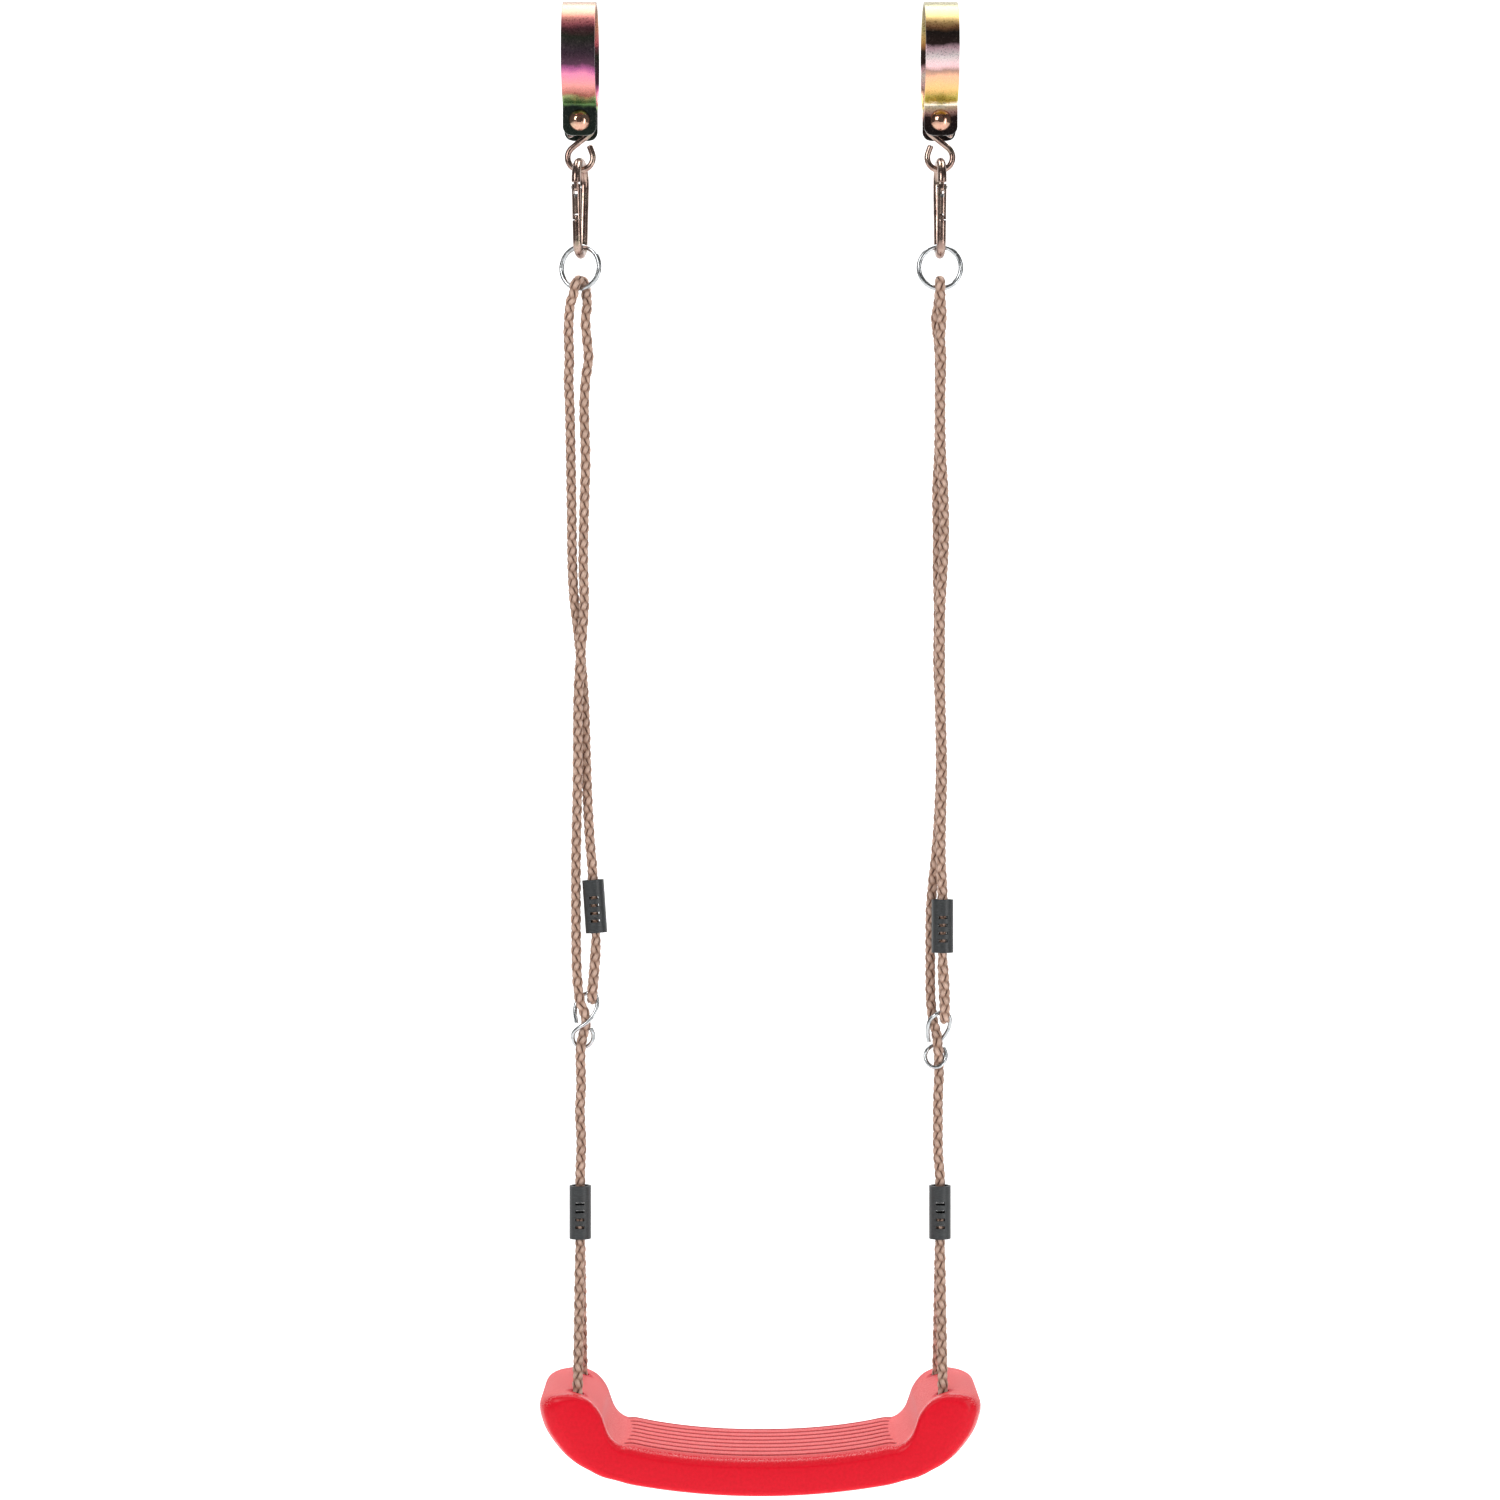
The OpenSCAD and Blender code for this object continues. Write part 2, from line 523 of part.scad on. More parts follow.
// Both ends' rope holes and the channel that joins each pair, grown on every side
module rope_ways(grow) {
  for (side = [-1, 1]) translate([side * hole_x, 0, 0]) {
    for (y = [-hole_y, hole_y]) translate([0, y, seat_low_z - 10])
      cylinder(d = hole_d + 2 * grow, h = end_rise + seat_t + 40);
    translate([-channel_w / 2 - grow, -hole_y - grow, seat_low_z - 10])
      cube([channel_w + 2 * grow, 2 * (hole_y + grow), channel_top_z - seat_low_z + 10 + grow]);
  }
}

module seat() color(seat_red) difference() {
  seat_body(0);
  difference() {
    seat_body(seat_wall);
    rope_ways(seat_wall);
  }
  rope_ways(0);
  translate([0, 0, seat_low_z - 1]) cylinder(d = drain_d, h = 2 * seat_wall);
}

strap(-side_x);  // left_strap
bolt(-side_x);  // left_bolt
washer(-side_x);  // left_washer
nut(-side_x);  // left_nut
spacer_tube(-side_x);  // left_spacer_tube
strap(side_x);  // right_strap
bolt(side_x);  // right_bolt
washer(side_x);  // right_washer
nut(side_x);  // right_nut
spacer_tube(side_x);  // right_spacer_tube
s_hook(-side_x, 0);  // left_s_hook
s_hook(side_x, 1);  // right_s_hook
snap_hook_body(-side_x, left_snap_turn);  // left_snap_hook_body
gate_pin(-side_x, left_snap_turn);  // left_gate_pin
snap_gate(-side_x, left_snap_turn);  // left_snap_gate
gate_spring(-side_x, left_snap_turn);  // left_gate_spring
snap_hook_body(side_x, right_snap_turn);  // right_snap_hook_body
gate_pin(side_x, right_snap_turn);  // right_gate_pin
snap_gate(side_x, right_snap_turn);  // right_snap_gate
gate_spring(side_x, right_snap_turn);  // right_gate_spring
ring(-side_x, left_ring_turn);  // left_ring
ring(side_x, right_ring_turn);  // right_ring
rope(-side_x, left_eye, left_end_strand, left_bight, left_main_strand);  // left_rope
upper_sleeve(-side_x + 12.5, 0, upper_sleeve_z[0], left_sleeve_tilt);  // left_upper_sleeve
length_clip(-side_x, [0, 0, 0], 0);  // left_length_clip
lower_sleeve(-side_x);  // left_lower_sleeve
rope(side_x, right_eye, right_end_strand, right_bight, right_main_strand);  // right_rope
upper_sleeve(side_x + 2, -9, upper_sleeve_z[1], 0);  // right_upper_sleeve
length_clip(side_x, right_clip_shift, 1);  // right_length_clip
lower_sleeve(side_x);  // right_lower_sleeve
seat_rope(-side_x);  // left_seat_loop
seat_rope(side_x);  // right_seat_loop
seat();
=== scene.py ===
"""Looks of the rope swing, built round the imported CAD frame. Metres, CAD frame."""

import math

import bmesh
import bpy
import numpy as np
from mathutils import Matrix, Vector


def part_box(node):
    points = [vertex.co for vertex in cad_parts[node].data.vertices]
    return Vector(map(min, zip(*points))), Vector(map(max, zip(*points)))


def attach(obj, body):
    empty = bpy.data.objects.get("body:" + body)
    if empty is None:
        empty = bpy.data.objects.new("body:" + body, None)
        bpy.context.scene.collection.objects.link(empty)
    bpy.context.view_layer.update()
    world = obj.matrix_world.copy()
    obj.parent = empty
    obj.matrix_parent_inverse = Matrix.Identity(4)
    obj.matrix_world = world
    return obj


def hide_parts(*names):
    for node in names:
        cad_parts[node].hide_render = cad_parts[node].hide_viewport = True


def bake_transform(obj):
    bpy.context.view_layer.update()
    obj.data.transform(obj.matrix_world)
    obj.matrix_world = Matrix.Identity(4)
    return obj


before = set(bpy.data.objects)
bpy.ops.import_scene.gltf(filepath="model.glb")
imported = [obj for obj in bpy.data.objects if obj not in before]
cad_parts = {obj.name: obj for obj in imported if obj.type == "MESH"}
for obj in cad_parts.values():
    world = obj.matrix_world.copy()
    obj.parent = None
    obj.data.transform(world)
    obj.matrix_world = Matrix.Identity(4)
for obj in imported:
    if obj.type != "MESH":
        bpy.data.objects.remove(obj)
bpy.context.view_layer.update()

MM = 0.001
SIDES = {"left": -1, "right": 1}


def middle_x(node):
    low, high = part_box(node)
    return (low.x + high.x) / 2


LINE_X = {side: middle_x(side + "_lower_sleeve") for side in SIDES}

# ---------------------------------------------------------------- camera and light

VIEW_WIDTH = 1.485        # width seen at the distance of the beam's axis
CAMERA_DISTANCE = 3.4
CAMERA_X = -0.010
CAMERA_Z = -0.6866
SENSOR = 36.0


def make_camera():
    data = bpy.data.cameras.new("camera")
    data.sensor_width = SENSOR
    data.lens = SENSOR * CAMERA_DISTANCE / VIEW_WIDTH
    data.clip_end = 50
    camera = bpy.data.objects.new("camera", data)
    camera.location = (CAMERA_X, -CAMERA_DISTANCE, CAMERA_Z)
    camera.rotation_euler = (math.pi / 2, 0, 0)
    bpy.context.scene.collection.objects.link(camera)
    bpy.context.scene.camera = camera


def area_light(name, place, aim, size, power, tint=(1, 1, 1)):
    data = bpy.data.lights.new(name, "AREA")
    data.shape = "RECTANGLE"
    data.size, data.size_y = size
    data.energy = power
    data.color = tint
    light = bpy.data.objects.new(name, data)
    light.location = place
    direction = np.array(aim, float) - np.array(place, float)
    light.rotation_euler = Vector(direction).to_track_quat("-Z", "Y").to_euler()
    bpy.context.scene.collection.objects.link(light)
    return light


def make_studio():
    world = bpy.data.worlds.new("studio")
    bpy.context.scene.world = world
    world.use_nodes = True
    background = world.node_tree.nodes["Background"]
    background.inputs["Color"].default_value = (1, 1, 1, 1)
    background.inputs["Strength"].default_value = 0.13
    area_light("key", (-1.9, -2.6, 0.9), (0, 0, -0.7), (1.3, 1.6), 50)
    area_light("fill", (2.3, -2.2, -0.5), (0, 0, -0.9), (0.7, 2.4), 24)
    area_light("top", (0.1, 0.3, 1.5), (0, 0, -1.35), (2.2, 1.2), 50)
    floor_z = -1.80
    profile = [(-7, floor_z), (3.2, floor_z)]
    profile += [(3.2 + 1.2 * math.sin(a), floor_z + 1.2 * (1 - math.cos(a)))
                for a in np.linspace(0, math.pi / 2, 12)[1:]]
    profile += [(4.4, 4.5)]
    verts = [(x, y, z) for y, z in profile for x in (-8, 8)]
    faces = [(2 * i, 2 * i + 1, 2 * i + 3, 2 * i + 2) for i in range(len(profile) - 1)]
    floor = new_object("floor", verts, faces)
    floor.data.materials.append(studio_white())


# ---------------------------------------------------------------- mesh helpers

def new_object(name, verts, faces, smooth=True, layers=None):
    mesh = bpy.data.meshes.new(name)
    mesh.from_pydata([tuple(v) for v in verts], [], [tuple(f) for f in faces])
    mesh.validate()
    if smooth:
        mesh.polygons.foreach_set("use_smooth", [True] * len(mesh.polygons))
    for layer, values in (layers or {}).items():
        values = np.asarray(values, np.float32)
        if values.ndim == 1:
            attribute = mesh.attributes.new(layer, "FLOAT", "POINT")
            attribute.data.foreach_set("value", values)
        else:
            attribute = mesh.attributes.new(layer, "FLOAT_VECTOR", "POINT")
            attribute.data.foreach_set("vector", values.ravel())
    mesh.update()
    obj = bpy.data.objects.new(name, mesh)
    bpy.context.scene.collection.objects.link(obj)
    return obj


def apply_modifiers(obj):
    bpy.context.view_layer.update()
    evaluated = obj.evaluated_get(bpy.context.evaluated_depsgraph_get())
    mesh = bpy.data.meshes.new_from_object(evaluated)
    obj.modifiers.clear()
    obj.data = mesh
    return obj


def weighted_normals(obj):
    obj.modifiers.new("normals", "WEIGHTED_NORMAL").keep_sharp = True
    return apply_modifiers(obj)


def unit(v):
    return v / np.maximum(np.linalg.norm(v, axis=-1, keepdims=True), 1e-12)


def smooth_path(points, step):
    """Points along a Catmull-Rom curve through the given ones, evenly spaced by step."""
    p = np.array(points, float)
    p = np.vstack([2 * p[0] - p[1], p, 2 * p[-1] - p[-2]])
    fine = []
    for i in range(1, len(p) - 2):
        a, b, c, d = p[i - 1], p[i], p[i + 1], p[i + 2]
        count = max(4, int(np.linalg.norm((c - b)[:3]) / step * 3))
        for t in np.arange(count) / count:
            fine.append(0.5 * (2 * b + (c - a) * t + (2 * a - 5 * b + 4 * c - d) * t ** 2
                               + (3 * b - a - 3 * c + d) * t ** 3))
    fine.append(p[-2])
    return even(np.array(fine), step)


def even(points, step):
    run = np.linalg.norm(np.diff(points[:, :3], axis=0), axis=1)
    s = np.concatenate([[0], np.cumsum(run)])
    count = max(2, int(round(s[-1] / step)) + 1)
    at = np.linspace(0, s[-1], count)
    return np.stack([np.interp(at, s, points[:, k]) for k in range(points.shape[1])], 1)


def length_of(points):
    return float(np.linalg.norm(np.diff(points[:, :3], axis=0), axis=1).sum())


def frames_along(path, start, closed=False):
    """Normal and binormal at each point of the path, turning as little as possible."""
    if closed:
        t = unit(np.roll(path, -1, 0) - np.roll(path, 1, 0))
    else:
        t = unit(np.gradient(path, axis=0))
    normals = []
    n = np.array(start, float)
    for i in range(len(path)):
        n = n - n.dot(t[i]) * t[i]
        n = n / np.linalg.norm(n)
        normals.append(n)
    normals = np.array(normals)
    return normals, np.cross(t, normals)


def grid_faces(rows, cols, offset=0, close_rows=False):
    faces = []
    for i in range(rows if close_rows else rows - 1):
        j = (i + 1) % rows
        for k in range(cols):
            m = (k + 1) % cols
            faces.append((offset + i * cols + k, offset + i * cols + m,
                          offset + j * cols + m, offset + j * cols + k))
    return faces


def sweep(name, path, section, start, closed=False, caps=True):
    """Sweeps a section, rings x sides x (normal, binormal), along a path."""
    n, b = frames_along(path, start, closed)
    section = np.asarray(section, float)
    verts = (path[:, None] + section[..., :1] * n[:, None] + section[..., 1:] * b[:, None])
    rows, cols = section.shape[:2]
    faces = grid_faces(rows, cols, 0, closed)
    if caps and not closed:
        faces.append(tuple(range(cols))[::-1])
        faces.append(tuple((rows - 1) * cols + k for k in range(cols)))
    around = np.linspace(0, 2 * math.pi, cols, endpoint=False)
    s = np.concatenate([[0], np.cumsum(np.linalg.norm(np.diff(path, axis=0), axis=1))])
    layer = np.stack(np.broadcast_arrays(s[:, None], np.cos(around)[None], np.sin(around)[None]), -1)
    return new_object(name, verts.reshape(-1, 3), faces, layers={"run": layer.reshape(-1, 3)})


def round_section(radii, sides):
    a = np.linspace(0, 2 * math.pi, sides, endpoint=False)
    ring = np.stack([np.cos(a), np.sin(a)], -1)
    return np.asarray(radii, float)[:, None, None] * ring[None]


def wire(name, path, radius, sides=24, start=(0, 1, 0), tip=0.35):
    """A bent wire with its cut ends slightly rounded. tip is the rounding, as a share of radius."""
    t = unit(np.gradient(path, axis=0))
    r = np.full(len(path), radius)
    edge = tip * radius
    arcs = np.radians([0, 30, 60, 90])
    first = [path[0] + t[0] * edge * (1 - math.sin(a)) for a in arcs]
    last = [path[-1] - t[-1] * edge * (1 - math.sin(a)) for a in arcs]
    first_r = [radius - edge + edge * math.cos(a) for a in arcs]
    inner = np.linalg.norm(path - path[0], axis=1) > edge * 1.5
    inner &= np.linalg.norm(path - path[-1], axis=1) > edge * 1.5
    full = np.vstack([first[::-1], path[inner], last])
    radii = np.concatenate([first_r[::-1], r[inner], first_r])
    return sweep(name, full, round_section(radii, sides), start)


def arc(centre, radius, start, end, steps):
    a = np.radians(np.linspace(start, end, steps + 1))
    return [(centre[0] + radius * math.cos(x), centre[1] + radius * math.sin(x)) for x in a]


def turned(points, x, degrees):
    """Points drawn in a plane (u to the rear, v up) placed on the hanging line and turned."""
    a = math.radians(90 + degrees)
    return np.array([(x + p[0] * math.cos(a), p[0] * math.sin(a), p[1]) for p in points])


# ---------------------------------------------------------------- materials

class Shade:
    """A material's nodes, added with few words."""

    def __init__(self, name):
        self.mat = bpy.data.materials.new(name)
        self.mat.use_nodes = True
        self.tree = self.mat.node_tree
        self.bsdf = self.tree.nodes["Principled BSDF"]

    def set(self, **values):
        for name, value in values.items():
            socket = self.bsdf.inputs[name.replace("_", " ")]
            socket.default_value = (*value, 1) if isinstance(value, tuple) else value
        return self

    def node(self, kind, inputs=None, **settings):
        node = self.tree.nodes.new(kind)
        for key, value in settings.items():
            setattr(node, key, value)
        for key, value in (inputs or {}).items():
            self.feed(node.inputs[key], value)
        return node

    def feed(self, socket, value):
        if isinstance(value, bpy.types.NodeSocket):
            self.tree.links.new(value, socket)
        elif isinstance(value, bpy.types.Node):
            self.tree.links.new(value.outputs[0], socket)
        else:
            socket.default_value = value

    def place(self, scale=(1, 1, 1)):
        coord = self.node("ShaderNodeTexCoord")
        return self.node("ShaderNodeMapping", {"Vector": coord.outputs["Object"], "Scale": scale})

    def noise(self, vector, scale, detail=3, rough=0.5):
        return self.node("ShaderNodeTexNoise", {"Vector": vector, "Scale": scale, "Detail": detail,
                                                "Roughness": rough})

    def ramp(self, value, stops, ease="LINEAR"):
        node = self.node("ShaderNodeValToRGB", {"Fac": value})
        node.color_ramp.interpolation = ease
        elements = node.color_ramp.elements
        while len(elements) < len(stops):
            elements.new(0.5)
        for element, (at, colour) in zip(elements, stops):
            element.position = at
            element.color = (*colour, 1) if isinstance(colour, tuple) else (colour,) * 3 + (1,)
        return node

    def math(self, operation, a, b=0.0, c=0.0):
        return self.node("ShaderNodeMath", {0: a, 1: b, 2: c}, operation=operation)

    def mix(self, factor, a, b):
        node = self.node("ShaderNodeMix", data_type="RGBA")
        self.feed(node.inputs["Factor"], factor)
        self.feed(node.inputs["A"], (*a, 1) if isinstance(a, tuple) else a)
        self.feed(node.inputs["B"], (*b, 1) if isinstance(b, tuple) else b)
        return node.outputs["Result"]

    def bump(self, height, strength, distance, normal=None):
        node = self.node("ShaderNodeBump", {"Height": height, "Strength": strength,
                                            "Distance": distance})
        if normal is not None:
            self.feed(node.inputs["Normal"], normal)
        return node

    def attribute(self, name):
        return self.node("ShaderNodeAttribute", attribute_name=name)

    def use(self, **sockets):
        for name, value in sockets.items():
            self.feed(self.bsdf.inputs[name.replace("_", " ")], value)
        return self.mat


def studio_white():
    shade = Shade("studio_white")
    shade.set(Base_Color=(0.88, 0.88, 0.88), Roughness=0.95, Specular_IOR_Level=0.0,
              Emission_Color=(1.0, 1.0, 1.0), Emission_Strength=0.76)
    return shade.mat


def rope_material():
    shade = Shade("plaited_rope")
    shade.set(Roughness=0.62, Sheen_Weight=0.35, Sheen_Roughness=0.4, Specular_IOR_Level=0.35)
    strand = shade.attribute("strand")
    fibre = shade.node("ShaderNodeMapping", {"Vector": strand.outputs["Vector"],
                                             "Scale": (60, 5.5, 5.5)})
    fibres = shade.noise(fibre, 1.6, 4, 0.65)
    broad = shade.noise(shade.place((70, 70, 70)), 1.0, 2)
    depth = shade.attribute("height").outputs["Fac"]
    # Painted shade and highlight: dark in the crevices between strands, light on the strand crests.
    painted_lobe_shading = shade.ramp(depth, [(0.0, (0.055, 0.026, 0.016)), (0.45, (0.17, 0.088, 0.058)),
                              (0.70, (0.42, 0.262, 0.192)), (1.0, (0.68, 0.49, 0.40))])
    streak = shade.ramp(fibres, [(0.32, (0.55, 0.50, 0.46)), (0.62, (1.15, 1.15, 1.15))])
    tone = shade.ramp(broad, [(0.3, (0.90, 0.88, 0.86)), (0.7, (1.06, 1.05, 1.04))])
    one = shade.node("ShaderNodeMix", data_type="RGBA", blend_type="MULTIPLY")
    one.inputs["Factor"].default_value = 1
    shade.feed(one.inputs["A"], painted_lobe_shading.outputs[0])
    shade.feed(one.inputs["B"], streak.outputs[0])
    two = shade.node("ShaderNodeMix", data_type="RGBA", blend_type="MULTIPLY")
    two.inputs["Factor"].default_value = 1
    shade.feed(two.inputs["A"], one.outputs["Result"])
    shade.feed(two.inputs["B"], tone.outputs[0])
    bump = shade.bump(fibres.outputs[0], 0.55, 0.0004)
    return shade.use(Base_Color=two.outputs["Result"], Normal=bump.outputs[0])


def seat_material():
    shade = Shade("red_moulded_plastic")
    shade.set(Specular_IOR_Level=0.16)
    place = shade.place()
    pebble = shade.noise(place, 1300, 2, 0.6)
    grain = shade.noise(place, 300, 3, 0.6)
    # The top mask times the upward-facing share picks out the pebbled top: it takes the pebbles'
    # roughness and bump, and a painted sheen, the top light's highlight painted into the colour as
    # light pink.
    facing = shade.node("ShaderNodeSeparateXYZ",
                        {0: shade.node("ShaderNodeNewGeometry").outputs["Normal"]})
    top = shade.math("MULTIPLY", shade.attribute("top").outputs["Fac"],
                     shade.ramp(facing.outputs["Z"], [(0.02, 0.0), (0.40, 1.0)]))
    red = shade.mix(shade.ramp(grain, [(0.35, 0.0), (0.65, 1.0)]),
                    (0.66, 0.003, 0.015), (0.74, 0.004, 0.019))
    # Painted sheen: the pebbled top is painted light pink where the top light would catch it.
    painted_sheen = shade.mix(shade.ramp(pebble, [(0.35, 0.0), (0.65, 1.0)]),
                     (0.74, 0.050, 0.056), (0.95, 0.21, 0.21))
    body = shade.mix(shade.math("MULTIPLY", top, away_from_holes(shade)), red, painted_sheen)
    # Painted shade: the colour darkens to a deep red down inside the pressed grooves.
    groove_shade = shade.math("POWER", shade.attribute("groove_shade").outputs["Fac"], 0.6)
    body = shade.mix(groove_shade, body, (0.15, 0.002, 0.006))
    speck = shade.ramp(shade.noise(place, 800, 2, 0.7), [(0.52, 0.0), (0.60, 1.0)])
    specks = shade.math("MULTIPLY", speck, shade.attribute("edge").outputs["Fac"])
    body = shade.mix(shade.math("MULTIPLY", specks, 0.7), body, (0.95, 0.33, 0.33))
    rough = shade.math("MULTIPLY_ADD", top, 0.30, 0.24)
    height = shade.math("MULTIPLY", pebble.outputs[0], shade.math("MULTIPLY_ADD", top, 0.90, 0.10))
    bump = shade.bump(height, 0.45, 0.0005)
    return shade.use(Base_Color=body, Roughness=rough, Normal=bump.outputs[0])


def away_from_holes(shade):
    """0 in the smooth ring round each rope hole, 1 elsewhere; it keeps the painted sheen off that
    ring.
    """
    coord = shade.node("ShaderNodeTexCoord")
    split = shade.node("ShaderNodeSeparateXYZ", {0: coord.outputs["Object"]})
    out = [shade.math("SUBTRACT", shade.math("ABSOLUTE", split.outputs[axis]), middle)
           for axis, middle in (("X", LINE_X["right"]), ("Y", HOLE_Y))]
    far = shade.math("SQRT", shade.math("MULTIPLY_ADD", out[0], out[0],
                                        shade.math("MULTIPLY", out[1], out[1])))
    return shade.node("ShaderNodeMapRange", {"Value": far, "From Min": 0.0085,
                                             "From Max": 0.0120})


def sleeve_material():
    shade = Shade("black_sleeve_plastic")
    shade.set(Specular_IOR_Level=0.55)
    place = shade.place((1, 1, 6))
    scuffs = shade.noise(place, 260, 4, 0.7)
    fine = shade.noise(shade.place(), 1400, 2)
    colour = shade.ramp(scuffs, [(0.35, (0.014, 0.016, 0.017)), (0.62, (0.034, 0.038, 0.040)),
                                 (0.80, (0.12, 0.13, 0.135))])
    rough = shade.ramp(scuffs, [(0.3, 0.30), (0.7, 0.52)])
    bump = shade.bump(fine.outputs[0], 0.3, 0.0003)
    return shade.use(Base_Color=colour.outputs[0], Roughness=rough.outputs[0],
                     Normal=bump.outputs[0])


def plated(name, tints, rough=(0.16, 0.34), scale=90, stretch=(1, 1, 1), metallic=1.0):
    """Zinc plating: a metal whose film colour drifts over the surface."""
    shade = Shade(name)
    shade.set(Metallic=metallic)
    drift = shade.noise(shade.place(stretch), scale, 3, 0.55)
    stops = [(0.30 + 0.40 * i / (len(tints) - 1), t) for i, t in enumerate(tints)]
    colour = shade.ramp(drift, stops, "EASE")
    spots = shade.noise(shade.place(), 520, 3, 0.6)
    dull = shade.mix(shade.ramp(spots, [(0.56, 0.0), (0.80, 0.30)]), colour.outputs[0],
                     tuple(0.55 * c for c in tints[0]))
    roughness = shade.ramp(spots, [(0.3, rough[0]), (0.7, rough[1])])
    bump = shade.bump(spots.outputs[0], 0.05, 0.0001)
    return shade.use(Base_Color=dull, Roughness=roughness.outputs[0], Normal=bump.outputs[0])


def strap_material(name, bands):
    """Iridescent zinc: the film colour and painted reflections of the studio, dark bands and bright
    glints, run in bands down the strap.
    """
    shade = Shade(name)
    shade.set(Metallic=0.72)
    coord = shade.node("ShaderNodeTexCoord")
    split = shade.node("ShaderNodeSeparateXYZ", {0: coord.outputs["Object"]})
    drift = shade.noise(shade.place((1, 1, 1)), 45, 4, 0.6)
    wander = shade.math("MULTIPLY_ADD", drift.outputs[0], 0.012, -0.006)
    height = shade.math("ADD", split.outputs["Z"], wander)
    share = shade.node("ShaderNodeMapRange", {"Value": height, "From Min": -0.081,
                                              "From Max": 0.053})
    # The bands by height are partly the film's own colour, partly painted reflections.
    colour = shade.ramp(share, bands)
    spots = shade.noise(shade.place(), 520, 4, 0.7)
    mottled = shade.mix(shade.ramp(spots, [(0.60, 0.0), (0.74, 0.30)]), colour.outputs[0],
                        (0.42, 0.34, 0.27))
    roughness = shade.ramp(spots, [(0.3, 0.20), (0.7, 0.42)])
    bump = shade.bump(spots.outputs[0], 0.06, 0.0002)
    return shade.use(Base_Color=mottled, Roughness=roughness.outputs[0], Normal=bump.outputs[0])


# ---------------------------------------------------------------- ropes

FULL = 5.0
TIGHT = 4.1
STRANDS = 8
PITCH = 0.062          # one turn of a strand round the rope
STRAND_OUT = 0.0028    # how far a strand's middle lies from the rope's middle
STRAND_WEAVE = 0.0010
STRAND_HALF_W = 0.0025
STRAND_HALF_T = 0.0016
STRAND_SIDES = 10
CORE_R = 0.0029
CREVICE_R = 0.0030     # painted shade: the rope's colour runs from dark in the crevices at this radius
LOBE_RISE = 0.0023     # to a light painted highlight on the strand crests at this much more

# Routes as in the CAD source, in millimetres: [x from the hanging line, y, z, rope radius].
EYE = {
    "left": [
        [13.3, 4.2, -829, TIGHT], [15.2, 4.2, -866, TIGHT], [15.0, 8.0, -884, FULL],
        [13.4, 9.4, -908, FULL], [12.2, 9.2, -922, FULL], [11.8, 7.2, -930, FULL],
        [11.6, 2.0, -934, FULL], [11.8, -3.2, -930, FULL], [12.2, -5.2, -922, FULL],
        [13.8, -5.8, -904, FULL], [15.2, -5.2, -884, FULL], [15.4, -4.2, -866, TIGHT],
        [13.3, -4.2, -829, TIGHT], [12.5, -1.0, -816, FULL]],
    "right": [
        [2, -4.8, -848, TIGHT], [2, -4.8, -885, TIGHT], [2.6, -0.6, -903, FULL],
        [4, 4.4, -928, FULL], [4.6, 5.4, -941, FULL], [4.6, 3.2, -949, FULL],
        [4.5, -2, -953, FULL], [4.4, -7.2, -949, FULL], [4.4, -9.2, -941, FULL],
        [4.2, -10.6, -923, FULL], [2.8, -13, -903, FULL], [2, -13.2, -885, TIGHT],
        [2, -13.2, -848, TIGHT], [2, -9.8, -835, FULL]]}
END_STRAND = {
    "left": [
        [11.6, 0, -800, FULL], [9.4, 1.5, -776, FULL], [7.2, 4, -740, FULL],
        [5.6, 5.4, -700, FULL], [3.6, 6, -640, FULL], [0.6, 6, -600, FULL],
        [-3, 5, -565, FULL], [-6.4, 2.2, -535, FULL], [-8, 0, -500, FULL],
        [-8.6, 0, -450, FULL], [-9.4, 0, -400, FULL], [-10.4, 0, -350, FULL],
        [-11.6, 0, -320, FULL], [-10.8, -1, -300, FULL], [-11.6, -2, -270, FULL],
        [-9.8, -4, -246, FULL]],
    "right": [
        [1.8, -8.4, -819, FULL], [0.6, -7, -795, FULL], [0.8, -6, -760, FULL],
        [2, -5.4, -705, FULL], [0.4, -5.4, -640, FULL], [0, -5.4, -600, FULL],
        [0.2, -5.6, -550, FULL], [2.4, -5.4, -510, FULL], [4, -5, -475, FULL],
        [3.2, -5, -430, FULL], [0.8, -5.8, -390, FULL], [0.2, -6, -340, FULL],
        [1.2, -6.4, -300, FULL], [0, -7, -280, FULL], [1.4, -7.4, -260, FULL],
        [0.6, -8, -245, FULL]]}
BIGHT = {
    "left": [
        [-6.6, -6.4, -237, FULL], [-5.2, -7.2, -229, FULL], [-3.6, -5, -223.6, FULL],
        [0, 0, -221.6, FULL], [3.6, 5, -223.6, FULL], [5.2, 7.2, -229, FULL],
        [5.8, 6.4, -237, FULL]],
    "right": [
        [0, -8.6, -237, FULL], [0, -8.3, -229, FULL], [0, -5.8, -223.8, FULL],
        [0, 0, -221.6, FULL], [0, 5.8, -223.8, FULL], [0, 8.3, -229, FULL],
        [-0.4, 8.6, -237, FULL]]}
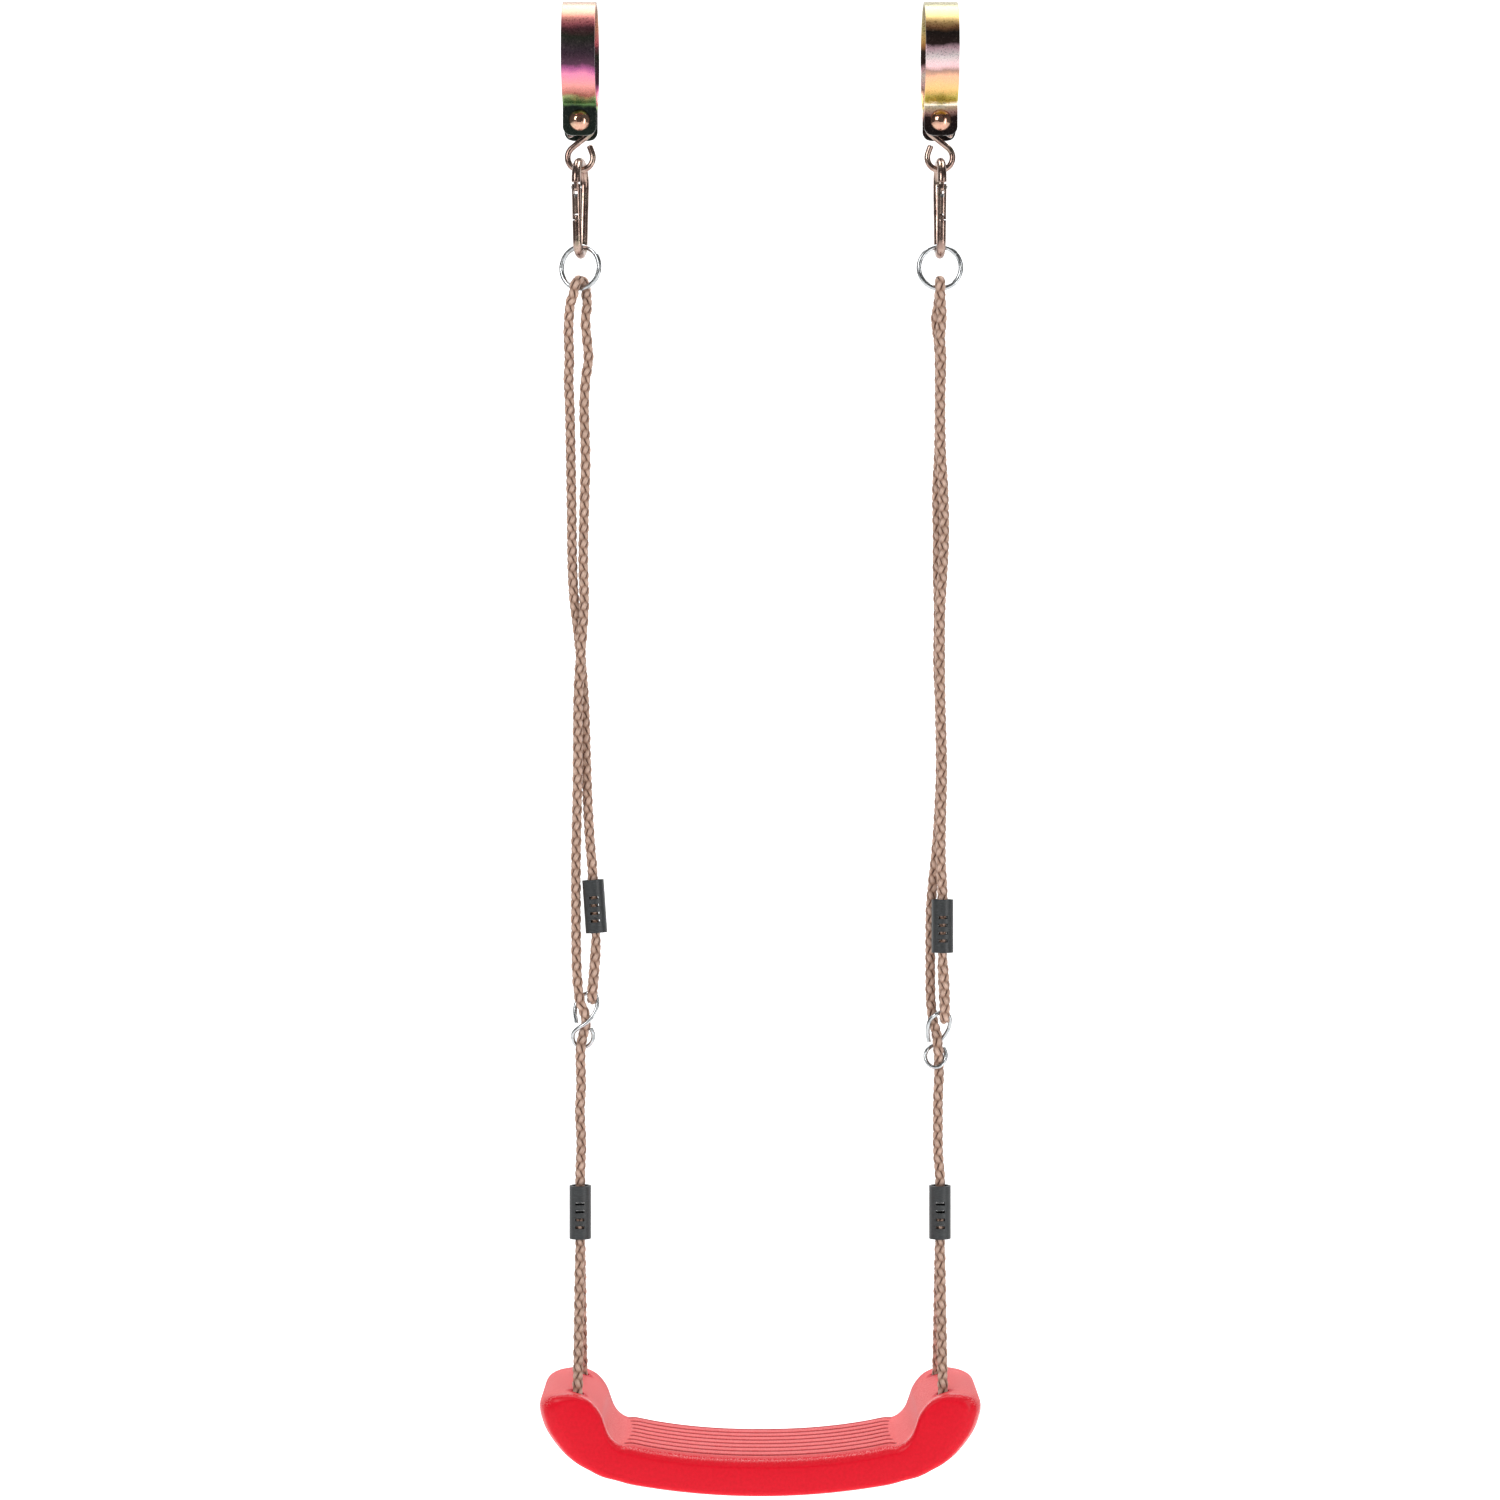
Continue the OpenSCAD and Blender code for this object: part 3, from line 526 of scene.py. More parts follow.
MAIN_STRAND = {
    "left": [
        [6.6, 3.5, -246, FULL], [5, 1.5, -262, FULL], [6.8, 1, -282, FULL],
        [8, 1, -300, FULL], [5.2, 1, -320, FULL], [3.8, 0, -350, FULL],
        [5.2, 0, -400, FULL], [3.8, 0, -450, FULL], [3, -1, -500, FULL],
        [4, -3, -540, FULL], [2.2, -4.9, -572, FULL], [0, -5.4, -600, FULL],
        [-2, -5.4, -640, FULL], [-2.4, -4.8, -700, FULL], [-3, -3.4, -740, FULL],
        [-4, -1, -780, FULL], [-4.4, 0, -815, FULL], [-4.2, 0, -870, FULL],
        [-3.4, -2, -905, FULL], [-1.6, -4.4, -925, FULL], [0.4, -5, -936, FULL],
        [3, -3.4, -943, FULL], [5, -0.4, -950, FULL], [5.4, 2.6, -957, FULL],
        [4, 2.6, -964, FULL], [2, 0, -972, FULL], [0.6, -3, -981, FULL],
        [0.2, -2.4, -991, FULL], [0.8, 0, -1020, FULL], [-0.4, 0, -1045, FULL],
        [1, 0, -1075, FULL], [0, 0, -1105, FULL], [0, 0, -1130, FULL]],
    "right": [
        [-1.2, 8, -245, FULL], [-3.6, 7.4, -260, FULL], [-1.2, 7, -280, FULL],
        [0, 6.4, -300, FULL], [0, 6, -340, FULL], [-0.6, 5.8, -390, FULL],
        [-2.6, 5.2, -430, FULL], [-2, 5.2, -475, FULL], [-2, 5.4, -510, FULL],
        [-1, 5.4, -550, FULL], [-1.6, 5.4, -600, FULL], [0, 5.4, -640, FULL],
        [1, 5.2, -705, FULL], [-1, 5.2, -755, FULL], [-3.6, 5.4, -790, FULL],
        [-7, 5.6, -822, FULL], [-9, 5.8, -850, FULL], [-9.2, 5.8, -900, FULL],
        [-9, 5.8, -930, FULL], [-8, 5.4, -943, FULL], [-6.6, 5, -955, FULL],
        [-4.6, 3.4, -962, FULL], [-3.2, 0.4, -969, FULL], [-2.4, -2.6, -976, FULL],
        [-1.8, -2.6, -983, FULL], [-1.2, 0, -991, FULL], [-0.8, 3, -1000, FULL],
        [-0.8, 2.4, -1010, FULL], [-1.8, 0.6, -1030, FULL], [-2, 0, -1055, FULL],
        [-1.8, 0, -1085, FULL], [0, 0, -1108, FULL], [0, 0, -1130, FULL]]}
SEAT_LOOP = [
    [0, -4.2, -1150, TIGHT], [0, -4.3, -1166, TIGHT], [0, -6.4, -1176, 4.7],
    [0, -15, -1200, FULL], [0, -31, -1250, FULL],
    [0, -46, -1295, FULL], [0, -51, -1307, FULL], [0, -52, -1318, FULL],
    [0, -52, -1356, FULL], [0, -50, -1365, FULL], [0, -43, -1370, FULL],
    [0, 0, -1371, FULL],
    [0, 43, -1370, FULL], [0, 50, -1365, FULL], [0, 52, -1356, FULL],
    [0, 52, -1318, FULL], [0, 51, -1307, FULL], [0, 46, -1295, FULL],
    [0, 31, -1250, FULL], [0, 15, -1200, FULL],
    [0, 6.4, -1176, 4.7], [0, 4.3, -1166, TIGHT], [0, 4.2, -1150, TIGHT]]


def rope_path(points, x, step=0.0022):
    p = np.array(points, float) * MM
    p[:, 0] += x
    return smooth_path(p, step)


def plait(name, route, phase):
    """An eight-strand plait along the route: four strands each way, weaving over and under."""
    path, share = route[:, :3], route[:, 3] / (FULL * MM)
    n, b = frames_along(path, (1, 0.02, 0))
    s = np.arange(len(path)) * length_of(path) / (len(path) - 1)
    sides = STRAND_SIDES
    around = np.linspace(0, 2 * math.pi, sides, endpoint=False)
    verts, faces, strand_layer, height_layer = [], [], [], []
    for k in range(STRANDS):
        way = 1 if k % 2 else -1
        index = k // 2
        angle = way * 2 * math.pi * s / PITCH + 2 * math.pi * index / (STRANDS / 2) + phase
        weave = way * np.cos(STRANDS * math.pi * s / PITCH)
        out = (STRAND_OUT + STRAND_WEAVE * weave) * share
        e_r = np.cos(angle)[:, None] * n + np.sin(angle)[:, None] * b
        centre = path + out[:, None] * e_r
        run = unit(np.gradient(centre, axis=0))
        side = unit(np.cross(run, e_r))
        rise = np.cross(side, run)
        half_w = (STRAND_HALF_W * share)[:, None, None]
        half_t = (STRAND_HALF_T * share)[:, None, None]
        ring = (centre[:, None] + half_w * np.cos(around)[None, :, None] * side[:, None]
                + half_t * np.sin(around)[None, :, None] * rise[:, None])
        faces += grid_faces(len(path), sides, len(verts) * len(path) * sides)
        base = len(verts) * len(path) * sides
        faces.append(tuple(base + i for i in range(sides))[::-1])
        faces.append(tuple(base + (len(path) - 1) * sides + i for i in range(sides)))
        verts.append(ring.reshape(-1, 3))
        radial = np.linalg.norm(ring - path[:, None], axis=2) / share[:, None]
        # height carries the painted shade and highlight, from the crevices out to the crests.
        height_layer.append(np.clip((radial - CREVICE_R) / LOBE_RISE, 0, 1).ravel())
        strand_layer.append(np.stack(np.broadcast_arrays(
            (s + 0.37 * k)[:, None], np.cos(around)[None] + 3.1 * k,
            np.sin(around)[None]), -1).reshape(-1, 3))
    core = path[:, None] + (CORE_R * share)[:, None, None] * (
        np.cos(around)[None, :, None] * n[:, None] + np.sin(around)[None, :, None] * b[:, None])
    base = STRANDS * len(path) * sides
    faces += grid_faces(len(path), sides, base)
    faces.append(tuple(base + i for i in range(sides))[::-1])
    faces.append(tuple(base + (len(path) - 1) * sides + i for i in range(sides)))
    verts.append(core.reshape(-1, 3))
    height_layer.append(np.zeros(len(path) * sides))
    strand_layer.append(np.zeros((len(path) * sides, 3)))
    return new_object(name, np.vstack(verts), faces, layers={
        "strand": np.vstack(strand_layer), "height": np.concatenate(height_layer)})


def make_ropes(material):
    for side in SIDES:
        x = LINE_X[side]
        points = EYE[side] + END_STRAND[side] + BIGHT[side] + MAIN_STRAND[side]
        route = rope_path(points, x)
        line = plait(side + "_plaited_rope", route, 0.3 if side == "left" else 1.1)
        line.data.materials.append(material)
        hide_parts(side + "_rope")
        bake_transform(line)

        route = rope_path(SEAT_LOOP, x)
        loop = plait(side + "_plaited_seat_loop", route, 0.8)
        loop.data.materials.append(material)
        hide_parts(side + "_seat_loop")
        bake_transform(loop)


# ---------------------------------------------------------------- hardware

HOOK_R = 0.0125
HOOK_WIRE = 0.006
HOOK_TOP_Z = -0.0682
HOOK_LOW_Z = -0.1001
SNAP_TURN = {"left": -9, "right": 3}
RING_TURN = {"left": -24, "right": 0}
SNAP_WIRE = 0.009
SNAP_TOP_R = 0.0205
SNAP_LOW_R = 0.014
PIN_FROM_BEND = 0.005
GATE_LENGTH = 0.0322
FLAT_HALF_T = 0.0019       # half thickness of the snap hook's tongue and nose
FLAT_HALF_W = 0.0041
FLAT_RINGS = 14
RING_WIRE = 0.005


def make_s_hook(side, material):
    bend = math.degrees(math.asin(2 * HOOK_R / (HOOK_TOP_Z - HOOK_LOW_Z)))
    turn = math.radians(20)
    tip_from = (-HOOK_R * math.cos(turn), HOOK_TOP_Z - HOOK_R * math.sin(turn))
    tip = (tip_from[0] + 0.008 * math.sin(turn), tip_from[1] - 0.008 * math.cos(turn))
    upper = [tip] + arc((0, HOOK_TOP_Z), HOOK_R, 200, -bend, 60)
    lower = [(-x, HOOK_TOP_Z + HOOK_LOW_Z - z) for x, z in upper[::-1]]
    flip = 1 if side == "left" else -1
    path = even(np.array([(flip * p[0] + LINE_X[side], 0, p[1]) for p in upper + lower]), 0.001)
    hook = wire(side + "_bent_s_hook", path, HOOK_WIRE / 2, 28)
    hook.data.materials.append(material)
    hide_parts(side + "_s_hook")
    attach(hook, side + "_hook")


def make_snap_hook(side, material):
    """Bent wire from the gate's flat tongue round both bends to the flat nose."""
    box_low, box_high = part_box(side + "_snap_hook_body")
    up = (0, box_high.z - SNAP_WIRE / 2 - SNAP_TOP_R)
    down = (0, box_low.z + SNAP_WIRE / 2 + SNAP_LOW_R)
    lean = math.degrees(math.asin((SNAP_TOP_R - SNAP_LOW_R) / (up[1] - down[1])))
    top = arc(up, SNAP_TOP_R, 180 + lean, -lean, 60)
    low = arc(down, SNAP_LOW_R, -lean, -180 + lean, 50)
    gate = unit(np.array(low[-1]) - np.array(top[0]))
    pin = np.array(top[0]) + PIN_FROM_BEND * gate
    latch = pin + GATE_LENGTH * gate
    x, turn = LINE_X[side], SNAP_TURN[side]
    body = even(turned(top + low + [tuple(latch)], x, turn), 0.0012)
    across = np.array([math.cos(math.radians(turn)), math.sin(math.radians(turn)), 0])
    start = turned([(0, 0)], 0, turn)[0] + across
    parts = [wire(side + "_forged_snap_hook", body, SNAP_WIRE / 2, 32, start, tip=0.12)]
    tongue = (top[0] - 0.003 * gate, top[0] + 0.009 * gate)
    nose = (latch + 0.003 * gate, latch - 0.005 * gate)
    for name, (begin, finish) in {"tongue": tongue, "nose": nose}.items():
        line = [begin + (finish - begin) * t for t in np.linspace(0, 1, FLAT_RINGS)]
        a = np.linspace(0, 2 * math.pi, 24, endpoint=False)
        flat = np.stack([FLAT_HALF_T * boxed(np.cos(a)), FLAT_HALF_W * boxed(np.sin(a))], -1)
        scale = np.ones(FLAT_RINGS)
        scale[-3:] = (0.96, 0.85, 0.6)
        section = scale[:, None, None] * flat[None]
        parts.append(sweep(side + "_" + name, turned(line, x, turn), section, start))
    hook = join(parts)
    hook.data.materials.append(material)
    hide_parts(side + "_snap_hook_body")
    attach(hook, side + "_snap_hook")


def boxed(wave):
    """Turns a sine or cosine into that of a rectangle with rounded corners."""
    return np.sign(wave) * np.abs(wave) ** 0.4


def join(parts):
    """Joins meshes into the first one."""
    mesh = bmesh.new()
    for part in parts:
        mesh.from_mesh(part.data)
    mesh.to_mesh(parts[0].data)
    mesh.free()
    for part in parts[1:]:
        bpy.data.objects.remove(part)
    parts[0].data.update()
    return parts[0]


def make_ring(side, material):
    low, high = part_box(side + "_ring")
    z = (low.z + high.z) / 2
    radius = (high.z - low.z - RING_WIRE) / 2
    turn = math.radians(RING_TURN[side])
    a = np.linspace(0, 2 * math.pi, 160, endpoint=False)
    flat = np.stack([radius * np.cos(a), 0 * a, radius * np.sin(a)], -1)
    path = np.stack([flat[:, 0] * math.cos(turn), flat[:, 0] * math.sin(turn), flat[:, 2]], -1)
    path += np.array([LINE_X[side], 0, z])
    weld_at = math.radians(38)
    gap = np.angle(np.exp(1j * (a - weld_at))) * radius
    r = RING_WIRE / 2 * (1 - 0.10 * np.exp(-(gap / 0.0007) ** 2) - 0.02
                         + 0.02 * np.exp(-((np.abs(gap) - 0.0018) / 0.001) ** 2))
    ring = sweep(side + "_welded_ring", path, round_section(r, 28), (math.sin(turn),
                 -math.cos(turn), 0), closed=True)
    ring.data.materials.append(material)
    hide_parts(side + "_ring")
    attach(ring, side + "_ring_link")


CLIP_ROUTE = [
    [-3.6, -1.5, -957], [-4.8, -1, -950], [-5, 0.5, -942], [-3, 2, -935], [1.5, 3, -930],
    [7, 2.6, -927.4], [12, 2, -927], [15.6, 1, -930], [17, 0, -936.5], [15.4, -1.5, -944],
    [11, -3, -951.5], [5, -4.4, -957.5], [-1.6, -3.6, -961.5], [-6.2, -1.5, -966],
    [-7.4, 0.5, -971.5], [-5.2, 2.6, -977.5], [0.4, 4.4, -981.2], [6.8, 4, -980],
    [11.6, 2, -975], [12.8, 0.6, -968.5], [10.6, -0.4, -962]]
RIGHT_CLIP_SHIFT = (-7, 0, -19)
CLIP_WIRE = 0.004


def make_clip(side, material):
    points = np.array(CLIP_ROUTE, float)
    if side == "right":
        points[:, 1] *= -1
        points += np.array(RIGHT_CLIP_SHIFT)
    points = points * MM
    points[:, 0] += LINE_X[side]
    clip = wire(side + "_bent_length_clip", smooth_path(points, 0.0009), CLIP_WIRE / 2, 24)
    clip.data.materials.append(material)
    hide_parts(side + "_length_clip")
    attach(clip, side + "_line")


BEAM_R = 0.050
STRAP_T = 0.003
STRAP_HALF_W = 0.0165
EAR_IN = 0.014
EAR_BOTTOM = -0.081
EAR_CORNER = 0.009
BEND_R = 0.004
STRAP_EDGE = 0.0005


def strap_line():
    """The strap's middle line in y and z, from the front ear's end to the rear ear's."""
    mid = EAR_IN + STRAP_T / 2
    bend_y = EAR_IN + STRAP_T + BEND_R
    bend_z = -math.sqrt((BEAM_R + STRAP_T + BEND_R) ** 2 - bend_y ** 2)
    meet = math.degrees(math.atan2(-bend_z, -bend_y))
    half = [(mid, EAR_BOTTOM + z) for z in np.linspace(0, bend_z - EAR_BOTTOM, 30)]
    half += arc((bend_y, bend_z), BEND_R + STRAP_T / 2, 180, meet, 14)[1:]
    half += arc((0, 0), BEAM_R + STRAP_T / 2, meet - 180, 90, 110)[1:]
    return half + [(-y, z) for y, z in half[::-1]][1:]


def strap_half_width(z):
    above = EAR_BOTTOM + EAR_CORNER - z
    if above < 0:
        return STRAP_HALF_W
    return STRAP_HALF_W - EAR_CORNER + math.sqrt(max(0, EAR_CORNER ** 2 - above ** 2))


def strap_ring(w):
    """The strip's section at half width w, with its long edges just broken."""
    half_t, edge = STRAP_T / 2, STRAP_EDGE
    part = 0.3 * edge
    across = np.linspace(-1, 1, 25)
    ring = [(u * (w - edge), half_t) for u in across]
    ring += [(w - part, half_t - part), (w, half_t - edge)]
    ring += [(w, -half_t + edge), (w - part, -half_t + part)]
    ring += [(u * (w - edge), -half_t) for u in across[::-1]]
    ring += [(-w + part, -half_t + part), (-w, -half_t + edge)]
    ring += [(-w, half_t - edge), (-w + part, half_t - part)]
    return ring


def make_strap(side, material):
    """The band as one bent strip: up the front ear, round the beam and down the rear ear."""
    line = strap_line()
    path = np.array([(LINE_X[side], y, z) for y, z in line])
    section = [strap_ring(strap_half_width(z)) for y, z in line]
    strap = sweep(side + "_bent_strap", path, section, (1, 0, 0))
    dimple(strap, side)
    weighted_normals(strap)
    strap.data.materials.append(material)
    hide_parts(side + "_strap")
    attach(strap, "hangers")


def dimple(strap, side):
    """A small pressed stiffening mark over each ear's bend."""
    spread, depth = 0.0035, 0.0012
    for v in strap.data.vertices:
        for sign in (-1, 1):
            far = math.hypot(v.co.x - LINE_X[side], (v.co.z + 0.0475) * 0.8)
            if v.co.y * sign > 0.012 and v.co.z < -0.035:
                v.co.y -= sign * depth * math.exp(-(far / spread) ** 2)


# ---------------------------------------------------------------- seat

SEAT_DEPTH = 2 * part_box("seat")[1].y
SEAT_MID_Z = -1.3715
SEAT_T = 0.038
END_TOP_Z = SEAT_MID_Z + 0.059
LOW_ARC_R = 0.700
END_X = 0.215
END_CURVE = [
    (-59.5, -78), (-44, -70.8), (-37, -67.3), (-30, -62.9), (-23, -57.1), (-16.5, -50),
    (-10.5, -42), (-5.5, -33.5), (-2, -24), (0, -15), (-0.6, -8), (-3.8, -2.8), (-9, 0),
    (-16, 1.4), (-23, 2), (-31, 1.6), (-39, -0.6), (-47, -4.6), (-54, -11), (-59.5, -19),
    (-63, -28), (-67, -37), (-73.5, -43.6), (-81.5, -47.2)]
EDGE_R = 0.007
PLAN_R = 0.030
HOLE_Y = 0.052
HOLE_D = 0.0124
CHANNEL_TOP_Z = -1.360
CROWN = 0.0045           # how far the dish falls away at the front and rear edges
GROOVES = 8
GROOVE_PITCH = 0.018
GROOVE_DEPTH = 0.0022
GROOVE_HALF_W = 0.0030
GROOVE_HALF_LENGTH = 0.127
GROOVE_ARC = 0.0055        # how much longer the outermost grooves are at each end
PEBBLE_HALF_DEPTH = 0.0655 # beyond this the top is smooth and red, without the painted sheen
PEBBLE_FADE = 0.006
SPECKLE_LINE = 0.0745      # the line of light pink specks along the front and rear upper edges
SPECKLE_WIDTH = 0.0022
CROWN_FROM = 0.061
DISH_HALF_LENGTH = 0.150
DISH_FADE = 0.030


def seat_outline():
    """The side outline of the CAD seat in x and z, from the middle of the underside round.
    Points are closest together where the grooves end."""
    def low(x):
        return SEAT_MID_Z - SEAT_T + LOW_ARC_R - math.sqrt(LOW_ARC_R ** 2 - x * x)

    def top(x):
        return SEAT_MID_Z + 0.0126 * (abs(x) / 0.128) ** 2.2

    half = [(x * MM, low(x * MM)) for x in range(0, 127, 18)]
    half += [(0.140, low(0.140) + 0.001)]
    half += [(END_X + x * MM, END_TOP_Z + z * MM) for x, z in END_CURVE]
    half += [(x * MM, top(x * MM)) for x in (124, 108.5, 93, 77.5, 62, 46.5, 31, 15.5, 0)]
    right = smooth_path([(x, 0, z) for x, z in [(-half[1][0], half[1][1])] + half
                         + [(-half[-2][0], half[-2][1])]], 0.0004)
    first = int(np.argmin(np.abs(right[:60, 0])))
    last = len(right) - 60 + int(np.argmin(np.abs(right[-60:, 0])))
    right = right[first:last + 1]
    right[0, 0] = right[-1, 0] = 0
    at_groove_ends = (np.abs(right[:, 0] - 0.129) < 0.009) & (right[:, 2] > SEAT_MID_Z - 0.005)
    spend = np.concatenate([[0], np.cumsum(np.where(at_groove_ends[1:], 1 / 0.0008, 1 / 0.0024)
                                           * np.linalg.norm(np.diff(right, axis=0), axis=1))])
    count = int(spend[-1])
    at = np.linspace(0, spend[-1], count + 1)
    right = np.stack([np.interp(at, spend, right[:, k]) for k in (0, 2)], 1)
    left = right[::-1][1:-1] * (-1, 1)
    return np.vstack([right, left])


def groove_centres():
    return [(i - (GROOVES - 1) / 2) * GROOVE_PITCH for i in range(GROOVES)]


def seat_rows():
    """Depths at which the seat is sliced: close together at the grooves and the edges."""
    half = SEAT_DEPTH / 2
    rows = set()
    for g in groove_centres():
        rows.update(g + o * GROOVE_HALF_W for o in (-1.5, -1, -0.85, -0.5, 0, 0.5, 0.85, 1, 1.5))
        rows.add(g + GROOVE_PITCH / 2)
    for a in np.radians(np.linspace(0, 90, 11)):
        for sign in (-1, 1):
            rows.add(sign * (half - EDGE_R + EDGE_R * math.sin(a)))
    return sorted(set(round(r, 6) for r in rows))


def make_seat(material):
    """The seat as slices of its outline from front to rear, with the grooves pressed in."""
    outline = seat_outline()
    count = len(outline)
    along = unit(np.roll(outline, -1, 0) - np.roll(outline, 1, 0))
    inward = np.stack([-along[:, 1], along[:, 0]], -1)
    x, z = outline[:, 0], outline[:, 1]
    top_side = np.clip((-inward[:, 1] - 0.10) / 0.30, 0, 1)
    dish = (top_side > 0) & (np.abs(x) < 0.140) & (z > SEAT_MID_Z - 0.004)
    in_dish = top_side * np.clip((DISH_HALF_LENGTH - np.abs(x)) / DISH_FADE, 0, 1)
    half = SEAT_DEPTH / 2
    outermost = groove_centres()[-1]
    verts, tops, edges, grooves = [], [], [], []
    rows = seat_rows()
    for y in rows:
        deep = max(0.0, abs(y) - (half - EDGE_R))
        draw_in = (EDGE_R - math.sqrt(max(0, EDGE_R ** 2 - deep ** 2))) * 0.85
        deep = max(0.0, abs(y) - (half - PLAN_R))
        plan = PLAN_R - math.sqrt(max(0, PLAN_R ** 2 - deep ** 2))
        share = np.clip((np.abs(x) - 0.120) / 0.080, 0, 1) ** 1.5
        row = outline + draw_in * inward
        row[:, 0] -= np.sign(x) * plan * 0.5 * share
        half_length = GROOVE_HALF_LENGTH + GROOVE_ARC * (y / outermost) ** 2
        nearest = min(abs(y - g) for g in groove_centres())
        cut = math.sqrt(max(0.0, 1 - (nearest / GROOVE_HALF_W) ** 2))
        cut = cut * np.clip((half_length - np.abs(x)) / 0.0016, 0, 1) * dish
        rim = np.clip((abs(y) - CROWN_FROM) / (half - CROWN_FROM), 0, 1)
        crown = CROWN * rim ** 2 * in_dish
        row = row + (GROOVE_DEPTH * cut + crown)[:, None] * inward
        verts.append(np.stack([row[:, 0], np.full(count, y), row[:, 1]], -1))
        # tops marks the pebbled top, which also carries the painted sheen.
        over = np.clip((abs(y) - PEBBLE_HALF_DEPTH) / PEBBLE_FADE, 0, 1)
        tops.append(top_side * (1 - 0.92 * over))
        edges.append(top_side * math.exp(-((abs(y) - SPECKLE_LINE) / SPECKLE_WIDTH) ** 2))
        # cut also drives the painted shade in the grooves.
        grooves.append(cut)
    faces = [f[::-1] for f in grid_faces(len(rows), count)]
    faces += seat_caps(len(rows), count)
    seat = new_object("moulded_seat", np.vstack(verts), faces, layers={
        "top": np.concatenate(tops), "edge": np.concatenate(edges),
        "groove_shade": np.concatenate(grooves)})
    cut_rope_ways(seat)
    seat.data.materials.clear()
    seat.data.materials.append(material)
    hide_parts("seat")
    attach(seat, "seat_group")


def seat_caps(rows, count):
    """The flat front and rear faces, as strips that join the underside to the top."""
    middle = count // 2
    faces = []
    for base, order in ((0, 1), ((rows - 1) * count, -1)):
        for side in (1, -1):
            for j in range(middle // 2):
                picks = [side * j, side * (j + 1), side * (middle - j - 1), side * (middle - j)]
                quad = list(dict.fromkeys(base + k % count for k in picks))
                if len(quad) > 2:
                    faces.append(tuple(quad[::order * side]))
    return faces


def cut_rope_ways(seat):
    """Drills the rope holes and mills the channels under the ends."""
    cutters = bpy.data.collections.new("cutters")
    bpy.context.scene.collection.children.link(cutters)
    made = []
    for x in LINE_X.values():
        for y in (-HOLE_Y, HOLE_Y):
            bpy.ops.mesh.primitive_cylinder_add(vertices=64, radius=HOLE_D / 2, depth=0.10,
                                                location=(x, y, -1.340))
            made.append(bpy.context.object)
        bpy.ops.mesh.primitive_cube_add(size=1, location=(x, 0, CHANNEL_TOP_Z - 0.030))
        made.append(bpy.context.object)
        made[-1].scale = (HOLE_D, 2 * HOLE_Y, 0.060)
    for cutter in made:
        for collection in cutter.users_collection:
            collection.objects.unlink(cutter)
        cutters.objects.link(cutter)
    modifier = seat.modifiers.new("cut", "BOOLEAN")
    modifier.operation = "DIFFERENCE"
    modifier.solver = "EXACT"
    modifier.operand_type = "COLLECTION"
    modifier.collection = cutters
    apply_modifiers(seat)
    for cutter in made:
        bpy.data.objects.remove(cutter)
    bpy.data.collections.remove(cutters)


# ---------------------------------------------------------------- carried-over CAD nodes

def paint_nodes(names, material):
    for name in names:
        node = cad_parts[name]
        node.data.materials.clear()
        node.data.materials.append(material)


# Colours by height down each strap: partly the zinc film's own iridescent colour, partly painted
# reflections, namely the dark bands and the bright glints.
LEFT_BANDS = [
    (0.0, (0.018, 0.030, 0.022)), (0.20, (0.014, 0.022, 0.018)), (0.235, (0.10, 0.20, 0.06)),
    (0.262, (0.30, 0.34, 0.14)), (0.285, (0.38, 0.14, 0.10)), (0.335, (0.72, 0.28, 0.26)),
    (0.405, (0.72, 0.22, 0.36)), (0.440, (0.38, 0.09, 0.24)), (0.470, (0.085, 0.030, 0.060)),
    (0.570, (0.060, 0.036, 0.052)), (0.670, (0.026, 0.030, 0.020)), (0.735, (0.10, 0.03, 0.04)),
    (0.770, (0.42, 0.11, 0.13)), (0.860, (0.44, 0.18, 0.12)), (0.940, (0.42, 0.25, 0.17)),
    (1.0, (0.40, 0.33, 0.27))]
